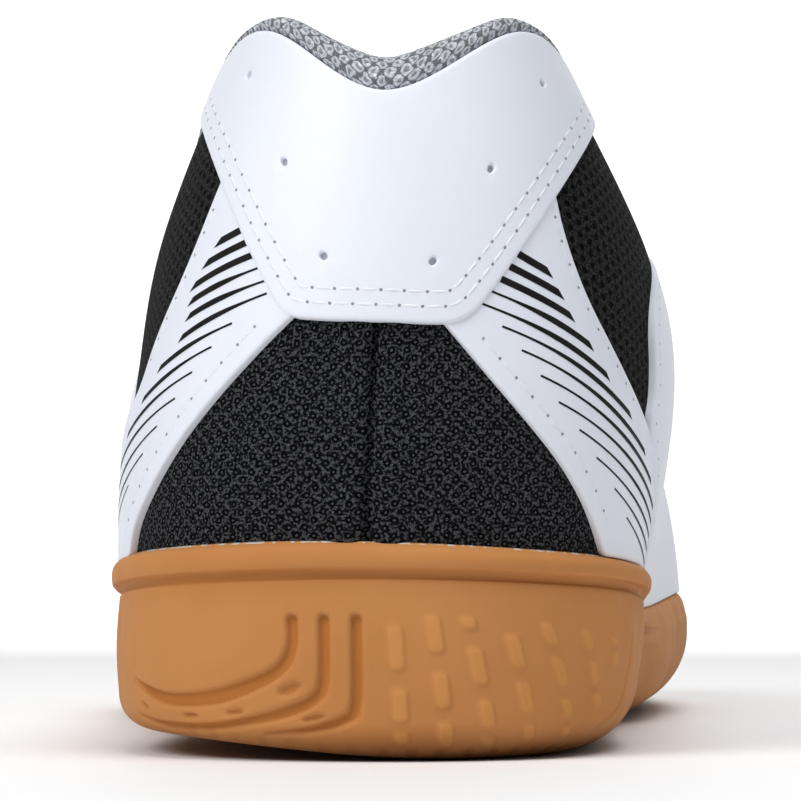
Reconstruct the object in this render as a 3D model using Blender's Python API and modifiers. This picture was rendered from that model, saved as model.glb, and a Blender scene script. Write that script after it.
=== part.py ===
"""Left table tennis shoe: a gum cup sole, a hollow upper and its overlays, padded collar, tongue and lace.

The tables are in millimetres on the last: X to the medial side, Y from heel to toe and Z up from the floor.
"""

import bmesh
import bpy
import numpy as np

MM = 0.001

# Driving sizes, in millimetres
SHOE_LENGTH = 278.0  # over the sole, heel to toe
BALL_WIDTH = 93.8  # over the sole at the ball
COLLAR_HEIGHT = 88.0  # floor to the highest point of the upper's edge
WALL = 2.0  # the upper's mesh, foam and lining together
GAP = 0.3  # between pieces that meet
LINING_GAP = 0.6  # between the upper's lining and what lies under it
OVERLAY = 1.0  # synthetic leather panels
SEAM = 0.25  # how far each panel stays back from a seam
INSOLE = 4.0

# Sizes of the last that the tables are drawn on
DRAWN_LENGTH = 278.0
DRAWN_BALL = 93.8
DRAWN_COLLAR = 88.0

# One row for each section of the upper, from the heel round the lateral side to the toe and back.
# A section leaves the base on the footbed by rise and lean, and meets the top edge from reach and drop.
SECTION_COLUMNS = (
    "base_x", "base_y", "base_z", "rise", "lean",
    "top_x", "top_y", "top_z", "reach", "drop", "lip_z", "edge_r",
)
SECTIONS = {
    "heel_back": (0.0, 5.3, 17.0, 18, 4.0, 2.2, 7.5, 79.5, 4.5, 20, 25.2, 4.5),
    "heel_corner_lateral": (-20.8, 12.6, 17.0, 17, 4.8, -11.4, 15.6, 88.0, 6.0, 22, 24.6, 3.8),
    "heel_side_lateral": (-32.2, 40.0, 17.0, 15, 0.8, -23.3, 43.0, 76.0, 9.6, 20, 23.0, 4.2),
    "ankle_lateral": (-33.1, 74.0, 16.5, 14, 2.4, -28.0, 71.0, 63.5, 6.0, 14, 20.5, 5.5),
    "quarter_lateral": (-34.2, 98.0, 16.0, 14, 5.2, -25.5, 91.0, 68.0, 9.0, 15, 18.5, 7.0),
    "eyestay_lateral": (-37.0, 120.0, 15.0, 14, 4.5, -16.0, 107.0, 82.0, 15.0, 16, 18.0, 7.5),
    "throat_lateral": (-42.6, 148.0, 14.0, 14, 3.6, -13.5, 129.0, 75.5, 20.0, 12, 18.5, 8.0),
    "ball_lateral": (-45.2, 178.0, 13.0, 15, 3.0, -12.0, 152.0, 67.5, 24.0, 10, 19.0, 8.5),
    "toe_side_lateral": (-42.0, 218.0, 13.0, 19, 2.5, -10.5, 170.0, 62.0, 29.0, 8, 19.5, 8.5),
    "toe_corner_lateral": (-25.0, 259.0, 14.0, 26, 2.0, -6.0, 179.0, 59.0, 40.0, 7, 21.5, 8.5),
    "toe_tip": (6.0, 278.5, 16.0, 29, 1.5, 3.0, 183.0, 58.0, 50.0, 6, 24.0, 8.0),
    "toe_corner_medial": (32.0, 260.0, 14.0, 27, 2.0, 11.5, 179.0, 59.0, 40.0, 6, 21.5, 9.0),
    "toe_side_medial": (42.3, 226.0, 13.0, 22, 0.3, 15.5, 170.0, 62.5, 26.0, 7, 19.5, 10.0),
    "ball_medial": (43.2, 188.0, 13.0, 19, 0.2, 17.0, 152.0, 68.5, 19.5, 8, 19.5, 11.0),
    "throat_medial": (39.2, 152.0, 14.0, 19, 1.0, 18.0, 129.0, 76.5, 18.0, 14, 18.5, 10.0),
    "eyestay_medial": (35.2, 120.0, 15.0, 19, 2.4, 20.0, 107.0, 83.0, 22.0, 22, 17.5, 9.0),
    "quarter_medial": (33.0, 98.0, 16.0, 17, 4.0, 31.0, 91.0, 69.0, 12.0, 17, 18.0, 9.0),
    "ankle_medial": (31.8, 72.0, 16.5, 14, 2.4, 33.6, 71.0, 65.0, 9.0, 15, 20.5, 9.0),
    "heel_side_medial": (31.4, 40.0, 17.0, 15, 3.0, 27.2, 43.0, 75.5, 14.0, 18, 23.0, 9.0),
    "heel_corner_medial": (20.8, 12.6, 17.0, 17, 4.8, 17.0, 15.6, 87.3, 6.0, 22, 24.6, 7.0),
}
COLUMNS_PER_SECTION = 4
WALL_ROWS = (0.0, 0.11, 0.22, 0.34, 0.46, 0.58, 0.71, 0.85, 1.0)

# The sole's side from the lip down, as distances below the lip and out from the upper at heel and forefoot
SOLE_COLUMNS = ("below_lip", "out_heel", "out_front")
SOLE_SIDE = {
    "lip_crest": (0.0, 0.9, 0.8),
    "lip_top": (0.8, 1.9, 1.5),
    "lip_bottom": (3.2, 1.9, 2.2),
    "groove_top": (3.7, 0.9, 2.3),
    "groove_bottom": (4.5, 0.9, 2.4),
    "wall_top": (5.1, 1.4, 2.4),
}
EDGE_ANGLES = (0.0, 30.0, 60.0, 90.0)  # steps round the edge between side and tread
LIP_FADES = (95.0, 135.0)  # the groove under the lip runs out between these distances from the heel
ARCH_RISE = 2.5
ARCH_SPAN = (88.0, 146.0)
TOE_SPRING = 10.0
TOE_START = 212.0

# Relief on the heel's side, by distance round from the heel's back and height over the floor
RIB_GROOVE = 0.75  # half the width of a groove
RIB_STEP = 4.0  # between points along a groove
RIB_GROOVES = {
    "inner": (
        (-8.0, 17.3), (-8.0, 14.0), (-9.2, 11.6), (-12.5, 9.6), (-17.2, 8.1), (-23.5, 7.8), (-32.0, 9.6),
    ),
    "middle": (
        (-4.5, 17.3), (-4.5, 9.5), (-5.4, 7.6), (-8.0, 6.4), (-12.5, 5.1), (-18.8, 4.5), (-31.0, 5.6),
    ),
    "outer": ((-1.0, 17.3), (-1.0, 6.6), (-2.2, 4.8), (-5.8, 3.7), (-11.2, 3.2)),
}
DASH = 1.0  # half the width of a raised dash
DASH_SUNK = 0.55  # how far the axis of a dash lies under the wall
DASH_COLUMNS = ("around", "lean", "tops", "lengths")
DASHES = {
    "first": (3.0, 0.08, (15.8, 8.4), (5.0, 3.8)),
    "second": (7.0, 0.12, (17.0, 10.2), (4.3, 4.0)),
    "third": (10.9, 0.20, (16.6, 13.2, 7.0), (1.0, 4.3, 3.0)),
    "fourth": (15.8, 0.32, (14.7, 9.0), (4.0, 3.6)),
    "fifth": (20.4, 0.36, (16.0, 12.0, 7.3), (2.7, 3.5, 2.4)),
    "sixth": (27.0, 0.42, (15.2, 11.5), (2.3, 2.9)),
    "seventh": (33.0, 0.50, (14.5, 12.4), (1.2, 1.5)),
}
TREAD_DEPTH = 1.5
TREAD_BEND = 9.0  # how far a tread groove points forwards in its middle
TREAD_REACH = 60.0
TREAD_PLACES = (32.0, 50.0, 68.0, 156.0, 170.0, 184.0, 198.0)

# Panels, as corners: distance round, share of the wall from the sole's lip to the top edge, and rounding
PANEL_COLUMNS = ("around", "share", "rounding")
WALL_SPAN = 62.0  # millimetres that a share of 1 stands for on the flat pattern
PANEL_FOOT = 0.012
PANEL_TOP = 0.98
PATTERN_STEP = 12.0  # between points along the outline of a pattern
SMALL_ROUNDING = 3.0  # below this a corner is one chamfer
SADDLE_TOP = 84.0
SADDLE_LATERAL = 53.0  # where the saddles meet the bands at the sole
SADDLE_MEDIAL = 46.5
FRONT_LATERAL = 186.0  # the saddles' front ends at the sole
FRONT_MEDIAL = 224.0
EYESTAY_END = 131.0
EYESTAY_OTHER = 486.0  # its medial end, counted on round the toe
EYESTAY_LOW = 0.76
THROAT_LOW = 0.86
TOE_TOP = 0.45
PANELS = {
    "heel_panel": (
        (-38.0, PANEL_TOP, 1.0), (-38.0, 0.89, 2.0), (-25.2, 0.70, 2.0), (-11.4, 0.468, 4.0),
        (10.8, 0.459, 4.0), (24.6, 0.668, 2.0), (41.5, 0.93, 2.0), (41.5, PANEL_TOP, 1.0),
    ),
    "band_lateral": (
        (-25.2, 0.70, 1.0), (-11.4, 0.468, 1.0), (-32.0, 0.071, 4.0), (-33.9, PANEL_FOOT, 1.0),
        (-SADDLE_LATERAL, PANEL_FOOT, 1.0), (-SADDLE_LATERAL, 0.30, 2.0),
        (-36.2, 0.375, 9.0), (-28.6, 0.55, 9.0),
    ),
    "band_medial": (
        (24.6, 0.668, 1.0), (10.8, 0.459, 1.0), (8.2, 0.458, 1.0), (26.0, 0.126, 9.0),
        (31.6, PANEL_FOOT, 1.0), (SADDLE_MEDIAL, PANEL_FOOT, 1.0), (39.8, 0.32, 2.0),
        (31.8, 0.395, 9.0), (26.0, 0.556, 9.0),
    ),
    "saddle_lateral": (
        (-SADDLE_LATERAL, PANEL_FOOT, 1.0), (-SADDLE_LATERAL, 0.30, 2.0), (-59.0, 0.58, 12.0),
        (-SADDLE_TOP, PANEL_TOP, 3.0), (-EYESTAY_END, PANEL_TOP, 1.0), (-EYESTAY_END, EYESTAY_LOW, 1.0),
        (-172.0, 0.77, 6.0), (-FRONT_LATERAL, PANEL_FOOT, 1.0),
    ),
    "saddle_medial": (
        (SADDLE_MEDIAL, PANEL_FOOT, 1.0), (39.8, 0.32, 2.0), (40.6, 0.57, 6.0), (56.0, 0.83, 8.0),
        (SADDLE_TOP, PANEL_TOP, 3.0), (EYESTAY_END, PANEL_TOP, 1.0), (EYESTAY_END, EYESTAY_LOW, 1.0),
        (176.0, 0.77, 6.0), (208.0, 0.40, 9.0), (FRONT_MEDIAL, PANEL_FOOT, 1.0),
    ),
    "eyestay": (
        (-EYESTAY_END, PANEL_TOP, 1.0), (-EYESTAY_END, EYESTAY_LOW, 1.0), (-190.0, 0.78, 9.0),
        (-255.0, THROAT_LOW, 9.0), (-310.0, THROAT_LOW, 9.0), (-360.0, THROAT_LOW, 9.0),
        (-415.0, 0.78, 9.0),
        (-EYESTAY_OTHER, EYESTAY_LOW, 1.0), (-EYESTAY_OTHER, PANEL_TOP, 1.0),
    ),
    "toe_cap": (
        (-238.0, PANEL_FOOT, 1.0), (-262.0, 0.30, 12.0), (-285.0, 0.41, 12.0), (-310.0, TOE_TOP, 12.0),
        (-334.0, 0.41, 12.0), (-356.0, 0.30, 12.0), (-380.0, PANEL_FOOT, 1.0),
    ),
}

# The padded collar's section: out from the upper's face and up from its edge
CUFF_END = 117.0  # distance round from the heel's back to either end
CUFF_TAPER = 70.0  # where the pad begins to thin towards its ends
CUFF_THIN = 0.3
CUFF_DROPS = ((0.5, 3.0, 20.0), (0.35, 20.0, 30.0))  # how much lower its roll gets, and between where
CUFF_COLUMNS = ("out", "up")
CUFF_SECTION = {
    "edge_outside": (-0.3, 0.5),
    "roll_outside": (0.2, 2.6),
    "crest_outside": (-0.9, 4.5),
    "crest_inside": (-3.6, 4.8),
    "roll_inside": (-6.2, 2.6),
    "pad_top": (-7.6, -5.0),
    "pad_middle": (-7.4, -14.0),
    "pad_low": (-5.4, -24.0),
    "hem": (-2.4, -31.0),
    "back": (-2.4, -16.0),
    "edge_inside": (-2.4, 0.5),
}

TONGUE = 4.0
TONGUE_UNDER = WALL + 1.2  # its face under the upper's outer face
TONGUE_ACROSS = 9  # points across
TONGUE_KNOTS = (0.0, 0.2, 0.5, 0.8, 1.0)  # where the tucked edges, the throat's edges and the crown lie
TONGUE_TUCK = 8.0  # how far its edges lie under the eyestay
TONGUE_CROWN = 2.0
TONGUE_CROWN_RUN = (179.0, 160.0)  # the crown rises between these places along the throat
TONGUE_FRONT = (0.04, 0.90)  # half its front end along u, and the v of that end under the vamp
TONGUE_ROWS = (178.0, 168.0, 156.0, 143.0, 131.0, 120.0, 109.0)  # along the throat's edge
TONGUE_FREE_COLUMNS = ("back", "up", "narrow")
TONGUE_FREE = {"shoulder": (6.0, 3.4, 0.66), "top": (12.0, 8.6, 0.60)}

EYELET_PAIRS = 6
EYELET_SPAN = (171.0, 113.0)  # first and last pair along the throat's edge
EYELET_IN = 7.0  # from the throat's edge
LACE_WIDTH = 6.0
LACE_THICK = 1.2
LACE_CLEAR = 0.8  # between the lace and the eyestay
LACE_OVER = GAP + OVERLAY + LACE_CLEAR + LACE_THICK / 2  # the middle of the lace over the upper
LACE_LOW = 2.0  # the lace's middle over the tongue where it goes under the eyestay
LACE_BOW = 0.8  # how much it bows up between its ends
LACE_ACROSS = (0.2, 0.77)  # from one edge of the throat to just short of the other
LACE_POINTS = 6
THROAT_UP = (0.0, 0.25, 0.97)  # square to the tongue, up and forwards

SMOOTH_ANGLE = 0.7
COLORS = {
    "outsole": (0.50, 0.24, 0.09),
    "insole": (0.30, 0.30, 0.31),
    "upper": (0.035, 0.035, 0.038),
    "collar_cuff": (0.32, 0.33, 0.34),
    "tongue": (0.78, 0.79, 0.82),
    "lace": (0.80, 0.80, 0.82),
    "panel": (0.84, 0.86, 0.90),
}
ROUGHNESS = {
    "outsole": 0.5,
    "insole": 0.9,
    "upper": 0.9,
    "collar_cuff": 0.95,
    "tongue": 0.7,
    "lace": 0.8,
    "panel": 0.4,
}


def periodic_spline(knots, values):
    """A smooth closed curve through values at knots in 0..1, as a function of u."""
    count = len(knots)
    span = np.diff(np.append(knots, 1.0))
    matrix = np.zeros((count, count))
    right = np.zeros(count)
    for i in range(count):
        before, after = (i - 1) % count, (i + 1) % count
        matrix[i, before] += span[before]
        matrix[i, i] += 2 * (span[before] + span[i])
        matrix[i, after] += span[i]
        right[i] = 6 * ((values[after] - values[i]) / span[i] - (values[i] - values[before]) / span[before])
    bend = np.linalg.solve(matrix, right)

    def curve(u):
        u = np.asarray(u, float) % 1.0
        i = np.searchsorted(knots, u, side="right") - 1
        j = (i + 1) % count
        h = span[i]
        b = (u - knots[i]) / h
        a = 1 - b
        lift = ((a**3 - a) * bend[i] + (b**3 - b) * bend[j]) * h * h / 6
        return a * values[i] + b * values[j] + lift

    return curve


def section_curves():
    """Each column of the section table as a smooth closed curve, stretched to the shoe's own sizes."""
    table = np.array(list(SECTIONS.values()), float)
    wide, long, high = BALL_WIDTH / DRAWN_BALL, SHOE_LENGTH / DRAWN_LENGTH, COLLAR_HEIGHT / DRAWN_COLLAR
    stretch = dict.fromkeys(SECTION_COLUMNS, wide)
    stretch.update(base_y=long, top_y=long, edge_r=1.0)
    stretch.update(base_z=high, top_z=high, rise=high, drop=high, lip_z=high)
    table = table * [stretch[name] for name in SECTION_COLUMNS]
    step = np.linalg.norm(np.roll(table[:, :2], -1, axis=0) - table[:, :2], axis=1)
    knots = np.concatenate([[0], np.cumsum(step)[:-1]]) / step.sum()
    curves = {name: periodic_spline(knots, table[:, i]) for i, name in enumerate(SECTION_COLUMNS)}
    return dict(zip(SECTIONS, knots)), curves, step.sum()


KNOT, CURVE, PERIMETER = section_curves()


def stack(x, y, z):
    return np.stack(np.broadcast_arrays(x, y, z), axis=-1)


def outward(u):
    """The level direction that points out of the base outline."""
    step = 1e-4
    x = CURVE["base_x"](u + step) - CURVE["base_x"](u - step)
    y = CURVE["base_y"](u + step) - CURVE["base_y"](u - step)
    size = np.hypot(x, y)
    return -y / size, x / size


def wall_point(u, v):
    """The upper's outside: u runs round the shoe, and v from the footbed, 0, to the top edge, 1."""
    u, v = np.broadcast_arrays(np.asarray(u, float), np.asarray(v, float))
    row = {name: curve(u) for name, curve in CURVE.items()}
    out_x, out_y = outward(u)
    base = stack(row["base_x"], row["base_y"], row["base_z"])
    top = stack(row["top_x"], row["top_y"], row["top_z"])
    foot = base + stack(out_x * row["lean"], out_y * row["lean"], row["rise"])
    head = top + stack(out_x * row["reach"], out_y * row["reach"], -row["drop"])
    v = v[..., None]
    return base * (1 - v) ** 3 + 3 * foot * v * (1 - v) ** 2 + 3 * head * v**2 * (1 - v) + top * v**3


def skin(u, v, lift=0.0):
    """A point lift millimetres outside the upper's outer face."""
    step = 1e-4
    u, v, lift = np.broadcast_arrays(np.asarray(u, float), np.asarray(v, float), np.asarray(lift, float))
    along = wall_point(u + step, v) - wall_point(u - step, v)
    up = wall_point(u, v + step) - wall_point(u, v - step)
    normal = np.cross(up, along)
    normal /= np.linalg.norm(normal, axis=-1, keepdims=True)
    return wall_point(u, v) + normal * lift[..., None]


def level(u, z):
    """The v at which the wall reaches height z."""
    samples = np.linspace(0, 1, 201)
    u, z = np.broadcast_arrays(np.asarray(u, float), np.asarray(z, float))
    found = np.empty(u.shape)
    for i in np.ndindex(u.shape):
        heights = np.maximum.accumulate(wall_point(u[i], samples)[:, 2])
        found[i] = np.interp(z[i], heights, samples)
    return found


def place(around):
    """u at a distance round the base from the heel's back, positive to the medial side."""
    return (-np.asarray(around, float) / PERIMETER) % 1.0


def fade(value, start, end):
    """0 at start, 1 at end, and smooth between."""
    share = np.clip((np.asarray(value, float) - start) / (end - start), 0, 1)
    return share * share * (3 - 2 * share)


COLUMN_U = np.concatenate([
    np.linspace(start, end, COLUMNS_PER_SECTION, endpoint=False)
    for start, end in zip(KNOT.values(), [*list(KNOT.values())[1:], 1.0])
])
COUNT = len(COLUMN_U)
LIP_V = level(COLUMN_U, CURVE["lip_z"](COLUMN_U))


def column_of(u):
    """The place of u on the lattice's columns, counted on past a full turn."""
    turns = np.floor(u)
    return np.interp(u - turns, [*COLUMN_U, 1.0], np.arange(COUNT + 1)) + turns * COUNT


def u_of(column):
    turns = np.floor(column / COUNT)
    return np.interp(column - turns * COUNT, np.arange(COUNT + 1), [*COLUMN_U, 1.0]) + turns


def lip_v(u):
    return np.interp(np.asarray(u) % 1.0, [*COLUMN_U, 1.0], [*LIP_V, LIP_V[0]])


def ground(y):
    """Height of the tread over the floor: none under heel and ball, some at the arch and the toe."""
    arch = np.clip((y - ARCH_SPAN[0]) / (ARCH_SPAN[1] - ARCH_SPAN[0]), 0, 1)
    toe = np.clip((y - TOE_START) / (SHOE_LENGTH - TOE_START), 0, None)
    return ARCH_RISE * np.sin(np.pi * arch) ** 2 + TOE_SPRING * toe**2


def sole_wall(u, z, out):
    """A point at height z, out from where the sole's lip meets the upper."""
    seat = wall_point(u, lip_v(u))
    out_x, out_y = outward(u)
    return stack(seat[..., 0] + out_x * out, seat[..., 1] + out_y * out, z)


def front_share(u):
    return fade(wall_point(u, lip_v(u))[..., 1], *LIP_FADES)


def sole_rings():
    """Rings of the sole from the cup's floor up inside, over the lip and down the side to the tread."""
    u = COLUMN_U
    floor = skin(u, 0.0, GAP)
    floor[:, 2] = CURVE["base_z"](u) - GAP
    rings = [floor, skin(u, LIP_V / 2, GAP), skin(u, LIP_V, GAP)]
    rings[2][:, 2] -= GAP
    share = front_share(u)
    lip = CURVE["lip_z"](u)
    for below, out_heel, out_front in SOLE_SIDE.values():
        out = out_heel + (out_front - out_heel) * share
        rings.append(sole_wall(u, lip - below, out))
    radius = CURVE["edge_r"](u)
    for angle in np.radians(EDGE_ANGLES):
        ring = sole_wall(u, 0.0, out - radius * (1 - np.cos(angle)))
        ring[:, 2] = ground(ring[:, 1]) + radius * (1 - np.sin(angle))
        rings.append(ring)
    return np.array(rings)


SOLE_RINGS = sole_rings()
MIDDLE = (SOLE_RINGS.min(axis=(0, 1)) + SOLE_RINGS.max(axis=(0, 1))) / 2 * (1, 1, 0)


def to_world(points):
    """Millimetres on the last as metres, with the origin on the floor under the middle of the sole."""
    return (np.asarray(points, float) - MIDDLE) * MM


def clear_scene():
    for obj in list(bpy.data.objects):
        bpy.data.objects.remove(obj)


def add_collection(name):
    collection = bpy.data.collections.new(name)
    bpy.context.scene.collection.children.link(collection)
    return collection


def add_material(name, kind):
    material = bpy.data.materials.new(name)
    material.use_nodes = True
    shader = material.node_tree.nodes["Principled BSDF"]
    shader.inputs["Base Color"].default_value = (*COLORS[kind], 1)
    shader.inputs["Roughness"].default_value = ROUGHNESS[kind]
    shader.inputs["Metallic"].default_value = 0.0
    return material


def add_object(name, mesh, kind, collection):
    """Link a mesh in world coordinates as a named, smoothly shaded object."""
    mesh.materials.clear()
    mesh.materials.append(add_material(name, kind))
    mesh.shade_smooth()
    mesh.set_sharp_from_angle(angle=SMOOTH_ANGLE)
    obj = bpy.data.objects.new(name, mesh)
    collection.objects.link(obj)
    return obj


def add_cutter(name, mesh, collection):
    obj = bpy.data.objects.new(name, mesh)
    obj.hide_render = True
    obj.display_type = "WIRE"
    collection.objects.link(obj)
    return obj


def make_mesh(name, points, faces, closed=True):
    """A mesh in metres from points in millimetres; a closed one gets its faces turned outwards."""
    mesh = bpy.data.meshes.new(name)
    mesh.from_pydata(to_world(points).tolist(), [], faces)
    if closed:
        turn_outwards(mesh)
    return mesh


def turn_outwards(mesh):
    bm = bmesh.new()
    bm.from_mesh(mesh)
    bmesh.ops.recalc_face_normals(bm, faces=bm.faces)
    bm.to_mesh(mesh)
    bm.free()


def grid_faces(rows, columns, round_columns=False, round_rows=False):
    """Quads of a grid that is numbered row by row, with the outer side to the right of a row's run."""
    faces = []
    for r in range(rows if round_rows else rows - 1):
        for c in range(columns if round_columns else columns - 1):
            here, above = r * columns, (r + 1) % rows * columns
            beside = (c + 1) % columns
            faces.append((here + c, above + c, above + beside, here + beside))
    return faces


def ring_cap(first):
    """Strips across a ring of the lattice, from the lateral to the medial side."""
    half = COUNT // 2
    faces = [(first, first + 1, first + COUNT - 1)]
    for i in range(1, half - 1):
        faces.append((first + i, first + i + 1, first + COUNT - i - 1, first + COUNT - i))
    faces.append((first + half - 1, first + half, first + half + 1))
    return faces


def add_boolean(obj, other, operation):
    modifier = obj.modifiers.new(other.name, "BOOLEAN")
    modifier.operation = operation
    modifier.solver = "EXACT"
    modifier.object = other


def add_solidify(obj, thickness):
    """Give an open surface its wall on the inner side."""
    modifier = obj.modifiers.new("wall", "SOLIDIFY")
    modifier.thickness = thickness * MM
    modifier.offset = -1.0
    modifier.use_even_offset = True


def evaluated_mesh(obj):
    graph = bpy.context.evaluated_depsgraph_get()
    return bpy.data.meshes.new_from_object(obj.evaluated_get(graph))


def along(points, step):
    """Points at most step apart along a line of points."""
    points = np.asarray(points, float)
    line = [points[:1]]
    for start, end in zip(points[:-1], points[1:]):
        count = max(1, int(np.ceil(np.linalg.norm(end - start) / step)))
        line.append(start + (end - start) * np.linspace(0, 1, count + 1)[1:, None])
    return np.concatenate(line)


def bar_mesh(paths, radius, resolution):
    """Closed round bars along paths in millimetres, joined in one mesh."""
    curve = bpy.data.curves.new("bars", "CURVE")
    curve.dimensions = "3D"
    curve.bevel_depth = radius * MM
    curve.bevel_resolution = resolution
    curve.use_fill_caps = True
    for path in paths:
        spline = curve.splines.new("POLY")
        spline.points.add(len(path) - 1)
        for point, position in zip(spline.points, to_world(path)):
            point.co = (*position, 1)
    obj = bpy.data.objects.new("bars", curve)
    bpy.context.scene.collection.objects.link(obj)
    mesh = evaluated_mesh(obj)
    bpy.data.objects.remove(obj)
    bm = bmesh.new()
    bm.from_mesh(mesh)
    bmesh.ops.remove_doubles(bm, verts=bm.verts, dist=1e-6)
    bmesh.ops.recalc_face_normals(bm, faces=bm.faces)
    bm.to_mesh(mesh)
    bm.free()
    return mesh


def heel_side(around, z, sunk=0.0):
    """A point on the heel's side wall, or sunk millimetres under it, down round the edge to the tread."""
    u = place(around)
    radius = CURVE["edge_r"](u)
    low = np.clip(1 - z / radius, 0, 1)
    out = SOLE_SIDE["wall_top"][1] - radius * (1 - np.sqrt(1 - low**2))
    return sole_wall(u, z, out - sunk)


def groove_paths():
    paths = []
    for corners in RIB_GROOVES.values():
        line = along(corners, RIB_STEP)
        paths.append(heel_side(line[:, 0], line[:, 1]))
    return paths


def dash_paths():
    paths = []
    for around, lean, tops, lengths in DASHES.values():
        highest = tops[0]
        for top, length in zip(tops, lengths):
            z = np.array([top, top - length])
            paths.append(heel_side(around + lean * (highest - z), z, DASH_SUNK))
    return paths


def tread_paths():
    middle = MIDDLE[0]
    paths = []
    for y in TREAD_PLACES:
        behind = y - TREAD_BEND
        paths.append([(middle - TREAD_REACH, behind, 0), (middle, y, 0), (middle + TREAD_REACH, behind, 0)])
    return paths


def add_outsole(parts, cutters):
    """The cup sole, with grooves and dashes on the heel's side and bent grooves across the tread."""
    rows = len(SOLE_RINGS)
    faces = grid_faces(rows, COUNT, round_columns=True)
    faces += ring_cap(0) + ring_cap((rows - 1) * COUNT)
    mesh = make_mesh("outsole", SOLE_RINGS.reshape(-1, 3), faces)
    sole = add_object("outsole", mesh, "outsole", parts)
    ribs = add_cutter("rib_grooves", bar_mesh(groove_paths(), RIB_GROOVE, 1), cutters)
    dashes = add_cutter("dashes", bar_mesh(dash_paths(), DASH, 1), cutters)
    tread = add_cutter("tread_grooves", bar_mesh(tread_paths(), TREAD_DEPTH, 0), cutters)
    add_boolean(sole, ribs, "DIFFERENCE")
    add_boolean(sole, dashes, "UNION")
    add_boolean(sole, tread, "DIFFERENCE")


def add_upper(parts):
    """The upper's outer face as one loft round the last, with its wall on the inner side."""
    u, v = np.meshgrid(COLUMN_U, WALL_ROWS)
    faces = grid_faces(len(WALL_ROWS), COUNT, round_columns=True)
    mesh = make_mesh("upper", wall_point(u, v).reshape(-1, 3), faces, closed=False)
    add_solidify(add_object("upper", mesh, "upper", parts), WALL)


def add_insole(parts):
    under = -(WALL + LINING_GAP)
    base = CURVE["base_z"](COLUMN_U)
    low = skin(COLUMN_U, 0.0, under)
    high = skin(COLUMN_U, level(COLUMN_U, base + INSOLE), under)
    low[:, 2] = base
    high[:, 2] = base + INSOLE
    faces = grid_faces(2, COUNT, round_columns=True) + ring_cap(0) + ring_cap(COUNT)
    add_object("insole", make_mesh("insole", np.concatenate([low, high]), faces), "insole", parts)


def rounded(points, roundings):
    """A closed outline whose corners are rounded."""
    line = []
    for i, (corner, rounding) in enumerate(zip(points, roundings)):
        ends = []
        for other in (points[i - 1], points[(i + 1) % len(points)]):
            size = np.linalg.norm(other - corner)
            ends.append(corner + (other - corner) * min(rounding / size, 0.45))
        for t in np.linspace(0, 1, 2 if rounding < SMALL_ROUNDING else 4):
            line.append(ends[0] * (1 - t) ** 2 + 2 * corner * t * (1 - t) + ends[1] * t**2)
    return np.array(line)


def inset(outline, distance):
    """A closed outline moved inwards by distance."""
    after = np.roll(outline, -1, axis=0) - outline
    size = np.linalg.norm(after, axis=1, keepdims=True)
    area = np.sum(outline[:, 0] * np.roll(outline[:, 1], -1) - outline[:, 1] * np.roll(outline[:, 0], -1))
    inner = np.stack([-after[:, 1], after[:, 0]], axis=1) / size * np.sign(area)
    before = np.roll(inner, 1, axis=0)
    corner = 1 + np.sum(inner * before, axis=1, keepdims=True)
    return outline + (inner + before) / corner * distance


def pattern_prism(outline):
    """A flat pattern's outline as a tall prism on the lattice."""
    bm = bmesh.new()
    face = bm.faces.new([bm.verts.new((x, y, -0.5)) for x, y in outline])
    raised = bmesh.ops.extrude_face_region(bm, geom=[face])
    tops = [item for item in raised["geom"] if isinstance(item, bmesh.types.BMVert)]
    bmesh.ops.translate(bm, verts=tops, vec=(0, 0, 2))
    bmesh.ops.recalc_face_normals(bm, faces=bm.faces)
    mesh = bpy.data.meshes.new("pattern")
    bm.to_mesh(mesh)
    bm.free()
    return mesh


def lattice_slab(columns, rows):
    """A slab one unit thick with a line at each column and row of the lattice."""
    x, y, z = np.meshgrid(columns, rows, (0.0, 1.0), indexing="ij")
    across, up = len(columns), len(rows)
    number = np.arange(across * up * 2).reshape(across, up, 2)
    faces = []
    for i in range(across - 1):
        for j in range(up - 1):
            for k in (0, 1):
                faces.append([number[a, b, k] for a, b in ((i, j), (i + 1, j), (i + 1, j + 1), (i, j + 1))])
    rim = [(i, 0) for i in range(across)] + [(across - 1, j) for j in range(1, up)]
    rim += [(i, up - 1) for i in range(across - 2, -1, -1)] + [(0, j) for j in range(up - 2, 0, -1)]
    for (a, b), (c, d) in zip(rim, rim[1:] + rim[:1]):
        faces.append([number[a, b, 0], number[c, d, 0], number[c, d, 1], number[a, b, 1]])
    mesh = bpy.data.meshes.new("slab")
    mesh.from_pydata(np.stack([x, y, z], axis=-1).reshape(-1, 3).tolist(), [], faces)
    turn_outwards(mesh)
    return mesh


def panel_outline(corners):
    """A panel's outline on the lattice, as columns and rows."""
    around, share, roundings = np.array(corners).T
    flat = rounded(inset(np.stack([around, share * WALL_SPAN], axis=1), SEAM), roundings)
    flat = along([*flat, flat[0]], PATTERN_STEP)[:-1]
    u = -flat[:, 0] / PERIMETER
    foot = lip_v(u)
    v = foot + flat[:, 1] / WALL_SPAN * (1 - foot)
    return np.stack([column_of(u), np.interp(v, WALL_ROWS, np.arange(len(WALL_ROWS)))], axis=1)


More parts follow.
